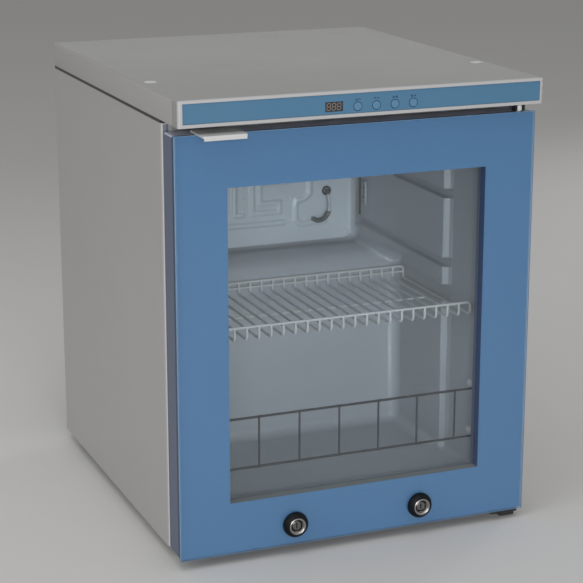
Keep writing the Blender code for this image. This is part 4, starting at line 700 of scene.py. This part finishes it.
# the lower dark band on the probe's tip is painted shade on its lower curve; the upper band darkens the
# lead where it runs into the grommet
probeGrey = makeFinish(
    "probeGrey", (0.42, 0.455, 0.49), 0.45, tone=0.08, toneScale=60.0, fine=2000.0, depth=0.00002,
    patches=[spot((0.1, 0.134), (0.38, 0.41), (0.285, 0.3015), (0.06, 0.065, 0.07)),
             spot((0.1, 0.134), (0.38, 0.41), (0.324, 0.34), (0.06, 0.065, 0.07))])
edgeGlass = makeFinish(
    "edgeGlass", (0.17, 0.28, 0.42), 0.38, tone=0.1, toneScale=40.0, fine=2200.0, coarse=600.0, bump=0.5)
clearGlass = makeGlass("clearGlass", (0.94, 0.965, 0.975), 0.0, 0.12)
innerPane = makeGlass("innerPane", (0.95, 0.97, 0.98), 0.0, 0.08)
print("finishes made")

# body

coverShape = dict(front=-0.0102, back=0.476, half=0.215, low=0.5025, high=0.5315, wall=0.003,
                  edge=0.0022, rearCorner=0.0045, frontCorner=0.0004)


def coverRing(shape, inset, height, frontInset=0.0):
    rear = max(shape["rearCorner"] - inset, 0.0008)
    front = shape["frontCorner"]
    return atHeight(outline(-shape["half"] + inset, shape["half"] - inset,
                            deep(shape["front"]) + frontInset, deep(shape["back"]) - inset,
                            [front, rear, rear, front], 10), height)


def makeCover(shape):
    # outline rings: up the inner wall, round the lower lip, up the outer wall, over the eased edge
    wall, edge, low, high = shape["wall"], shape["edge"], shape["low"], shape["high"]
    a = np.linspace(0, np.pi / 2, 7)
    rings = [coverRing(shape, wall, high - wall, 0.0002), coverRing(shape, wall, low + 0.0004, 0.0002),
             coverRing(shape, wall - 0.0004, low, 0.0002), coverRing(shape, 0.0004, low),
             coverRing(shape, 0.0, low + 0.0004)]
    rings += [coverRing(shape, edge * (1 - math.cos(t)), high - edge * (1 - math.sin(t))) for t in a]
    makePiece("top_cover_shell", [loft(rings)], "cabinet", coverPaint, sharp=50.0,
              replaced=("top_cover",))


capShape = dict(radius=0.0072, high=0.5321, depth=0.12, x=0.201, sunk=0.0012)


def makeCaps(shape):
    # a low crown with a lifting notch ring
    r = shape["radius"]
    profile = [(0.0, 0.0001), (r * 0.45, 0.00006), (r * 0.5, -0.0001), (r * 0.55, 0.0),
               (r * 0.86, -0.00006), (r * 0.97, -0.0003), (r, -0.0006), (r, -shape["sunk"]),
               (0.0, -shape["sunk"])]
    for side, hand in ((-1, "left"), (1, "right")):
        centre = (side * shape["x"], deep(shape["depth"]), shape["high"])
        makePiece("cap_" + hand, [turned(profile, centre, (0, 0, 1), 40)], "cabinet", whitePlastic,
                  replaced=("cover_cap_" + hand,))


makeCover(coverShape)
makeCaps(capShape)
softened(rimPlastic, 0.0004, "fascia_frame")
softened(sidePaint, 0.0, "left_side_panel", "right_side_panel")
softened(sidePaint, 0.0002, "front_lower_rail")
dress(zincSheet, "back_panel", "top_panel", "base_pan")
dress(foamYellow, "foam_insulation")
print("body dressed")

# control strip: keys, marks and display

keys = dict(x=(-0.0109, 0.0111, 0.0331, 0.0551), z=0.5135, front=-0.0132)


def makeKeys(spec):
    for index, x in enumerate(spec["x"]):
        look = makeFinish(f"keyFilm{index + 1}", (0.078, 0.19, 0.31), 0.34, tone=0.03, fine=1600.0,
                          depth=0.00001, spec=0.3,
                          ring=dict(centre=(x, 0, spec["z"]), radius=0.0047, width=0.0007,
                                    line=(0.03, 0.085, 0.19), inside=(0.105, 0.225, 0.35)))
        softened(look, 0.0002, f"button_{index + 1}")


def flatPlate(points, depth, thick):
    # an outline in the XZ plane given a small thickness towards the front
    return loft([atDepth(points, depth), atDepth(points, depth - thick)])


def makeMarks(spec):
    # a plain sign over each key: up, down, ring and bar
    a = circle(24)
    size, z = 0.0014, spec["z"] + 0.0076
    up = np.array([(-1, -0.8), (1, -0.8), (0, 0.9)]) * size
    bar = np.array([(-1.1, -0.35), (1.1, -0.35), (1.1, 0.35), (-1.1, 0.35)]) * size
    disc = np.stack([np.cos(a), np.sin(a)], -1) * size * 0.8
    square = np.array([(-0.8, -0.8), (0.8, -0.8), (0.8, 0.8), (-0.8, 0.8)]) * size
    pairs = [(up, bar), (-up, bar), (disc, square), (square, disc)]
    parts = []
    for x, pair in zip(spec["x"], pairs):
        for shift, shape in zip((-0.0018, 0.0018), pair):
            parts.append(flatPlate(shape + np.array([x + shift, z]), spec["front"], 0.00003))
    makePiece("key_signs", parts, "cabinet", markInk)


digits = dict(x=(-0.0448, -0.03875, -0.0327), z=0.5147, width=0.004, height=0.0074, bar=0.00085,
              gap=0.00018, front=-0.0128, thick=0.00004)


def makeDigits(spec):
    # seven bars with pointed ends on each of three places
    w, h, t, g = spec["width"] / 2, spec["height"] / 2, spec["bar"] / 2, spec["gap"]
    bars = [((-w, h), (w, h)), ((-w, 0), (w, 0)), ((-w, -h), (w, -h)), ((-w, 0), (-w, h)),
            ((w, 0), (w, h)), ((-w, -h), (-w, 0)), ((w, -h), (w, 0))]
    parts = []
    for x in spec["x"]:
        for start, end in bars:
            p, q = np.array(start, float), np.array(end, float)
            u = (q - p) / np.linalg.norm(q - p)
            n = np.array([-u[1], u[0]])
            p, q = p + u * g, q - u * g
            shape = np.array([p, p + (u - n) * t, q - (u + n) * t, q, q - (u - n) * t, p + (u + n) * t])
            shape = shape + np.array([x, spec["z"]])
            shape[:, 0] += (shape[:, 1] - spec["z"]) * 0.08
            parts.append(flatPlate(shape, spec["front"], spec["thick"]))
    makePiece("display_digits", parts, "cabinet", digitPale)


makeKeys(keys)
makeMarks(keys)
makeDigits(digits)
softened(blueFilm, 0.0, "control_strip")
dress(displayDark, "display_window")
dress(blackPlastic, "display_module")
dress(boardLaminate, "controller_board")
print("control strip dressed")

# door

glassEdge = dict(half=0.215, low=0.012, high=0.492, front=0.0007, back=0.0033, inset=0.0006)


def makeGlassEdge(spec):
    # the ground rim of the pane: a shallow rounded band just outside it
    proud = 0.00004
    profile = [(-spec["inset"], spec["front"]), (proud - 0.0002, spec["front"] + 0.0001),
               (proud, spec["front"] + 0.0004), (proud, spec["back"] - 0.0004),
               (proud - 0.0002, spec["back"] - 0.0001), (-spec["inset"], spec["back"])]
    makePiece("glass_edge", [frameSweep(spec["half"], spec["low"], spec["high"], 0.0008, profile, 3)],
              "door", edgeGlass)


gasket = dict(half=0.187, low=0.061, high=0.463, corner=0.002)


def makeGasket(spec):
    # base strip, folded waist and magnet bulb as one closed profile
    profile = [(0.0002, 0.0363), (0.0138, 0.0363), (0.014, 0.0368), (0.0138, 0.0374),
               (0.0112, 0.0378), (0.0106, 0.0386), (0.0118, 0.0393), (0.0134, 0.04),
               (0.0139, 0.041), (0.0139, 0.0434), (0.0132, 0.0444), (0.012, 0.0447),
               (0.003, 0.0447), (0.0012, 0.0442), (0.0004, 0.043), (0.0006, 0.0412),
               (0.0022, 0.0396), (0.0034, 0.0386), (0.002, 0.0377), (0.0002, 0.0371)]
    makePiece("gasket_bellows", [frameSweep(spec["half"], spec["low"], spec["high"], spec["corner"],
                                            profile, 8)], "door", sealRubber,
              replaced=("door_gasket",))


locks = dict(x=(-0.078, 0.078), z=0.037, sides=64)


def makeLocks(spec):
    # bezel and rim: closed profiles turned about each plug's axis, in millimetres
    bezel = np.array([(14.8, 0.3), (14.8, 2.6), (14.6, 3.9), (13.9, 5.4), (12.7, 6.8), (11.2, 7.9),
                      (9.7, 8.5), (8.9, 8.4), (8.5, 7.8), (8.5, 5.8), (6.4, 5.4), (6.2, 0.3),
                      (6.2, -39.7), (8.0, -39.7), (8.0, 0.3)]) * mm
    rim = np.array([(9.95, 8.2), (9.85, 8.75), (9.35, 9.15), (8.6, 9.15), (8.0, 8.75), (7.3, 7.6),
                    (6.6, 6.2), (6.35, 5.75), (8.45, 5.9), (8.55, 7.8)]) * mm
    for hand, x in zip(("left", "right"), spec["x"]):
        ring, collar = [turned(profile, (x, frontY, spec["z"]), (0, -1, 0), spec["sides"], closed=True)
                        for profile in (bezel, rim)]
        makePiece("lock_bezel_" + hand, [ring], "door", bezelPlastic, sharp=50.0,
                  replaced=("lock_housing_" + hand,))
        makePiece("lock_rim_" + hand, [collar], "door", rimMetal)
        softened(plugMetal, 0.0002, "lock_plug_" + hand)
        softened(steelPlain, 0.0003, "lock_nut_" + hand)
        softened(steelPlain, 0.0002, "lock_cam_" + hand)


makeGlassEdge(glassEdge)
makeGasket(gasket)
makeLocks(locks)
dress(clearGlass, "outer_glass")
dress(innerPane, "inner_glass")
dress(bluePrint, "printed_border")
dress(navyTrim, "spacer_frame")
softened(greyPlastic, 0.0003, "door_frame")
softened(whitePlastic, 0.0003, "handle_tab")
softened(blackMetal, 0.0003, "upper_hinge_bracket", "lower_hinge_bracket")
softened(bushPlastic, 0.0002, "upper_hinge_bush")
softened(blackPlastic, 0.0002, "lower_hinge_bush")
softened(chromePlate, 0.0003, "upper_hinge_pin", "lower_hinge_pin")
print("door dressed")

# inside

shelfWire = dict(radius=0.0015, pitch=0.015, bars=23, half=0.18, front=0.082, rear=0.268, low=0.236,
                 lip=0.015, bend=0.0045, stop=0.244, sides=12)


def makeShelf(s):
    # a hoop for both rails, a bar bent up at each end for every pitch, and a bead at each weld
    low, high = s["low"], s["low"] + s["lip"]
    front, rear = deep(s["front"]), deep(s["rear"])
    x, radius, sides = s["half"], s["radius"], s["sides"]
    hoop = [(-x, front, low), (-x, front, high), (x, front, high), (x, front, low),
            (x, rear, low), (x, rear, high), (-x, rear, high), (-x, rear, low)]
    parts = [tube(bentPath(hoop, s["bend"], closed=True), radius, sides, ref=(0.35, 0.41, 0.84),
                  closed=True)]
    reach = (s["bars"] - 1) / 2 * s["pitch"]
    for px in np.linspace(-reach, reach, s["bars"]):
        run = [(px, front, high), (px, front, low), (px, rear, low), (px, rear, high)]
        parts.append(tube(bentPath(run, s["bend"]), radius, sides, ref=(1, 0, 0)))
        # weld beads where the bar meets the two rails
        parts += [weldBead([(0.0, 0.0021), (0.0013, 0.0017), (0.002, 0.0006)],
                           (px, y, high - 0.0006), 8) for y in (front, rear)]
    # the cross wire under the floor, and the stop wire along the rear
    for half, y, z, wire in ((reach, (front + rear) / 2, low - radius, radius),
                             (x, rear, s["stop"], radius * 0.9)):
        parts.append(tube([(-half, y, z), (0, y, z), (half, y, z)], wire, sides))
    makePiece("shelf_wires", parts, "shelf", whiteWire,
              replaced=("shelf_floor_bars", "shelf_front_rail", "shelf_rear_rail"))


guardWire = dict(half=0.185, depth=0.058, low=0.091, high=0.151, rail=0.0015, bar=0.0012, pitch=0.05,
                 bars=7, sides=14)


def makeGuard(g):
    # two rails that thin out at their ends, and upright bars with a bead at each weld
    y = deep(g["depth"])
    parts = []
    for z in (g["low"], g["high"]):
        x = np.linspace(-g["half"], g["half"], 9)
        ends = np.minimum((g["half"] - np.abs(x)) / 0.001, 1.0)
        parts.append(tube(np.stack([x, 0 * x + y, 0 * x + z], -1), g["rail"] * (0.8 + 0.2 * ends),
                          g["sides"]))
    for index in range(g["bars"]):
        x = (index - (g["bars"] - 1) / 2) * g["pitch"]
        parts.append(tube([(x, y, g["low"]), (x, y, (g["low"] + g["high"]) / 2), (x, y, g["high"])],
                          g["bar"], g["sides"], ref=(1, 0, 0)))
        parts += [weldBead([(0.0, 0.0019), (0.0012, 0.0017), (0.0018, 0.0008)], (x, y, z), 10)
                  for z in (g["low"], g["high"])]
    makePiece("guard_wires", parts, "cabinet", darkWire, replaced=("bottle_guard",))


guardClips = dict(half=0.1863, depth=0.058, levels=(0.091, 0.151))
# each block: reach from the wall, nearest and farthest depth and low and high edge, all from the
# wire, and corner radius; two blocks hold the wire between them, and a hook bends in over it
clipBlocks = [(0.0062, -0.0062, -0.0019, -0.0046, 0.0104, 0.00096),
              (0.0062, 0.0019, 0.0062, -0.0046, 0.0104, 0.00096),
              (0.0185, -0.004, 0.004, 0.0045, 0.0112, 0.0016)]


def easedBlock(x0, x1, y0, y1, z0, z1, corner):
    # upright outline with rounded corners, drawn in a little at both ends
    rings = []
    for inset, z in ((0.0005, z0), (0.0, z0 + 0.0006), (0.0, z1 - 0.0008), (0.0006, z1)):
        rings.append(atHeight(outline(x0 + inset, x1 - inset, y0 + inset, y1 - inset, corner, 4), z))
    return loft(rings)


def makeClips(c, blocks):
    parts = []
    middle = deep(c["depth"])
    for side in (-1, 1):
        for level in c["levels"]:
            for reach, y0, y1, low, high, corner in blocks:
                x0, x1 = sorted((side * c["half"], side * (c["half"] - reach)))
                parts.append(easedBlock(x0, x1, middle + y0, middle + y1, level + low, level + high,
                                        corner))
    makePiece("guard_clips", parts, "cabinet", whitePlastic)


plate = dict(half=0.164, low=0.262, high=0.448, front=0.398, thick=0.0012, corner=0.012, rise=0.0019,
             wide=0.003, ease=0.0013, columns=261, rows=151)

# routes of the channel and places of the dimples in the plate, in millimetres

channels = [
    [(-150, 437), (-150, 290), (66, 290)],
    [(-138, 437), (-138, 304), (-126, 304), (-126, 437), (-104, 437), (-104, 304), (-92, 304),
     (-92, 437), (-70, 437), (-70, 304), (-58, 304), (-58, 437), (-36, 437), (-36, 304), (-24, 304),
     (-24, 437), (-2, 437), (-2, 304), (9, 304)],
    [(23, 437), (23, 305), (61, 305), (61, 317.5), (33, 317.5), (33, 345), (72, 345), (72, 357),
     (33, 357), (33, 369), (72, 369), (72, 381), (33, 381), (33, 393), (72, 393), (72, 405), (33, 405),
     (33, 437), (84, 437), (84, 350)],
    [(104, 437), (104, 326), (96, 319.5), (86, 318), (84, 312), (84, 291), (90, 286), (126, 286)],
]
dimples = [(10, 339), (10, 324.5), (10, 309), (57, 311.5), (78, 323), (76.5, 292), (101.5, 333.5),
           (105, 285.7), (144, 275), (-81, 320), (-81, 380), (-47, 350), (-13, 400), (120, 380),
           (120, 420), (-47, 420), (94, 400)]


def nearChannel(grid):
    # shortest distance from each (x, z) point to any run of the channels
    near = np.full(len(grid), 1.0)
    for route in channels:
        path = np.array(route, float) * mm
        for start, step in zip(path[:-1], np.diff(path, axis=0)):
            t = np.clip(((grid - start) @ step) / (step @ step), 0, 1)
            near = np.minimum(near, np.linalg.norm(grid - start - t[:, None] * step, axis=1))
    return near


def makePlate(p):
    # depth = front minus the ridge, whose height falls smoothly with the distance to the channel
    u = np.linspace(-p["half"], p["half"], p["columns"])
    v = np.linspace(p["low"], p["high"], p["rows"])
    x, z = np.meshgrid(u, v, indexing="ij")
    cx = np.clip(x, -p["half"] + p["corner"], p["half"] - p["corner"])
    cz = np.clip(z, p["low"] + p["corner"], p["high"] - p["corner"])
    away = np.hypot(x - cx, z - cz)
    pull = np.minimum(1.0, p["corner"] / np.maximum(away, 1e-9))
    x, z = cx + (x - cx) * pull, cz + (z - cz) * pull
    grid = np.stack([x.ravel(), z.ravel()], -1)
    near = nearChannel(grid)
    t = np.clip((p["wide"] + p["ease"] - near) / (2 * p["ease"]), 0, 1)
    height = p["rise"] * t * t * (3 - 2 * t)
    rim = np.minimum.reduce([p["half"] - np.abs(grid[:, 0]), grid[:, 1] - p["low"],
                             p["high"] - grid[:, 1]])
    height += 0.0006 * np.clip(1 - rim / 0.004, 0, 1)
    points = np.stack([grid[:, 0], deep(p["front"]) - height, grid[:, 1]], -1)
    makePiece("pressed_plate", [(points, gridFaces(p["columns"], p["rows"])[:, ::-1])], "cabinet",
              plateAluminium, replaced=("evaporator_plate",), solid=p["thick"], outward=False, sharp=60.0)


studs = dict(x=(-0.157, 0.157), z=(0.27, 0.44), radius=0.0034, dimple=0.0019, sunk=0.0002)


def makeStuds(s):
    r = s["radius"]
    profile = [(0.0, 0.0018), (r * 0.25, 0.0017), (r * 0.3, 0.001), (r * 0.36, 0.001),
               (r * 0.42, 0.0017), (r * 0.75, 0.0013), (r * 0.97, 0.0006), (r, 0.0), (0.0, 0.0)]
    parts = [turned(profile, (x, deep(plate["front"]), z), (0, -1, 0), 28)
             for x in s["x"] for z in s["z"]]
    makePiece("plate_studs", parts, "cabinet", whitePlastic)
    # the dimples are white domes: painted highlights where the plate's dimples and one recess corner
    # catch light
    r = s["dimple"]
    dome = [(r * math.sin(t), r * 0.55 * math.cos(t)) for t in np.linspace(0, np.pi / 2, 7)] + [(0, 0)]
    parts = [turned(dome, (x * mm, deep(plate["front"] - s["sunk"]), z * mm), (0, -1, 0), 20)
             for x, z in dimples]
    makePiece("plate_dimples", parts, "cabinet", whitePlastic)


probe = dict(x=0.128, z=0.328, front=0.3918, radius=0.0024, tip=0.0031, tipEnd=22)


def makeProbe(p):
    # a thick tip that bends up to the lead, which turns back into the grommet
    x, z, front, back = p["x"], p["z"], p["front"], plate["front"]
    knots = [(-0.023, front, -0.034), (-0.014, front, -0.0385), (-0.004, front, -0.035),
             (0.002, front, -0.024), (0.001, front, -0.01), (0, front + 0.001, -0.002),
             (0, back - 0.003, 0), (0, back + 0.001, 0), (0, back + 0.006, 0)]
    path = smoothPath([(x + right, deep(depth), z + up) for right, depth, up in knots])
    radius = np.full(len(path), p["radius"])
    radius[:p["tipEnd"]] = p["tip"]
    radius[p["tipEnd"]:p["tipEnd"] + 4] = (0.003, 0.0028, 0.0026, 0.0025)
    radius[:4] *= (0.5, 0.8, 0.94, 1.0)
    makePiece("probe_lead", [tube(path, radius, 16, ref=(0.1, 0.9, 0.2))], "cabinet", probeGrey,
              replaced=("temperature_probe",))
    ring = np.array([(3.1, -1.0), (3.5, 0.3), (4.6, 1.1), (5.8, 1.0), (6.5, 0.2), (6.5, -0.7),
                     (4.5, -0.7), (4.5, -2.4), (3.1, -2.4)]) * mm
    lip = turned(ring, (x, deep(back - 0.0011), z), (0, -1, 0), 40, closed=True)
    makePiece("grommet_lip", [lip], "cabinet", footRubber, replaced=("tube_grommet",))


makeShelf(shelfWire)
makeGuard(guardWire)
makeClips(guardClips, clipBlocks)
makePlate(plate)
makeStuds(studs)
makeProbe(probe)
softened(linerPlastic, 0.0, "inner_liner", angle=50.0,
         crisp=((0.175, deep(0.138), 0.03), (0.19, deep(0.152), 0.47)))
softened(sensorPlastic, 0.0002, "air_sensor_cover")
dress(heaterFilm, "heater_foil")
print("inside dressed")

# rear, compressor bay and feet

rearScrews = dict(panel=[(-0.2, 0.24), (0.0, 0.24), (0.2, 0.24), (-0.2, 0.365), (0.2, 0.365),
                         (-0.2, 0.487), (0.0, 0.487), (0.2, 0.487)],
                  cover=[(-0.19, 0.026), (0.0, 0.026), (0.19, 0.026), (-0.205, 0.12), (0.205, 0.12),
                         (-0.19, 0.214), (0.0, 0.214), (0.19, 0.214)],
                  depth=0.4769, radius=0.0034, height=0.001 / 0.55)


def makeScrews(s):
    # round heads with a drive recess
    profile = np.array([(0.0, 0.1), (0.16, 0.1), (0.2, 0.55), (0.6, 0.52), (0.9, 0.34),
                        (1.0, 0.08), (1.0, 0.0), (0.0, 0.0)]) * (s["radius"], s["height"])
    for label in ("panel", "cover"):
        parts = [turned(profile, (x, deep(s["depth"]), z), (0, 1, 0), 24) for x, z in s[label]]
        makePiece("screws_" + label, parts, "cabinet", steelPlain)


louvres = dict(columns=(-0.115, 0.0, 0.115), low=0.0442, pitch=0.018, rows=9, width=0.09,
               height=0.005, top=0.216, margin=0.008, inlet=(0.115, 0.0542), clear=0.0165,
               depth=0.4769, rise=0.001, drop=0.0014)


def makeLouvres(s):
    # a rolled lip above each slot: a half round that fades out at both ends, none near the inlet
    parts = []
    uu, aa = np.meshgrid(np.linspace(-1, 1, 25), np.linspace(0, np.pi, 9), indexing="ij")
    fade = np.sqrt(np.clip(1 - uu ** 8, 0, 1))
    for column in s["columns"]:
        for row in range(s["rows"]):
            z = s["low"] + row * s["pitch"]
            beside = column == s["inlet"][0] and abs(z + s["height"] / 2 - s["inlet"][1]) < s["clear"]
            if beside or z + s["height"] > s["top"] - s["margin"]:
                continue
            x = column + uu * (s["width"] / 2 + 0.002)
            zz = z + s["height"] + 0.0016 - np.cos(aa) * s["drop"] * fade
            y = deep(s["depth"]) + np.sin(aa) * s["rise"] * fade
            parts.append((np.stack([x, y, zz], -1), gridFaces(*uu.shape)))
    makePiece("louvre_lips", parts, "cabinet", blackMetal, outward=False)


inletPins = dict(x=0.115, z=0.0542, pitch=0.007, half=(0.0011, 0.0021), front=0.461, back=0.4741)


def makePins(s):
    # three flat pins whose ends are drawn in a little
    parts = []
    for k in (-1, 0, 1):
        x = s["x"] + k * s["pitch"]
        rings = []
        for depth, inset in ((s["front"], 0.0), (s["back"] - 0.0006, 0.0), (s["back"], 0.0005)):
            a, b = s["half"][0] - inset, s["half"][1] - inset
            rings.append(atDepth(outline(x - a, x + a, s["z"] - b, s["z"] + b, 0.0003, 3), depth))
        parts.append(loft(rings))
    makePiece("inlet_pins", parts, "cabinet", chromePlate)


footPlaces = [("front_left", -0.184, 0.105, "foot_left"), ("front_right", 0.184, 0.105, "foot_right"),
              ("rear_left", -0.184, 0.418, "cabinet"), ("rear_right", 0.184, 0.418, "cabinet")]


def makeFeet(places):
    # stud, grip collar with a waist, soft sole with two grooves, in millimetres
    profile = np.array([(0.0, 22.2), (2.4, 22.2), (3.0, 21.6), (3.0, 12.7), (7.6, 12.7), (8.1, 12.2),
                        (8.1, 8.4), (8.6, 7.4), (11.6, 6.6), (12.6, 6.0), (13.0, 5.0), (13.0, 4.2),
                        (12.6, 4.0), (12.6, 3.6), (13.0, 3.4), (13.0, 2.6), (12.6, 2.4), (12.6, 2.0),
                        (13.0, 1.8), (13.0, 0.8), (12.3, 0.0), (0.0, 0.0)]) * mm
    for label, x, depth, body in places:
        makePiece("foot_sole_" + label, [turned(profile, (x, deep(depth), 0.0), (0, 0, 1), 40)], body,
                  footRubber, replaced=("foot_" + label,))


makeScrews(rearScrews)
makeLouvres(louvres)
makePins(inletPins)
makeFeet(footPlaces)
softened(blackMetal, 0.0002, "compressor_cover")
softened(blackPlastic, 0.0003, "power_inlet")
softened(blackMetal, 0.0005, "compressor")
softened(zincSheet, 0.0003, "compressor_base")
softened(copper, 0.0, "suction_tube", "discharge_tube", angle=70.0)
print("rear dressed")

bpy.context.scene.view_settings.view_transform = "Standard"
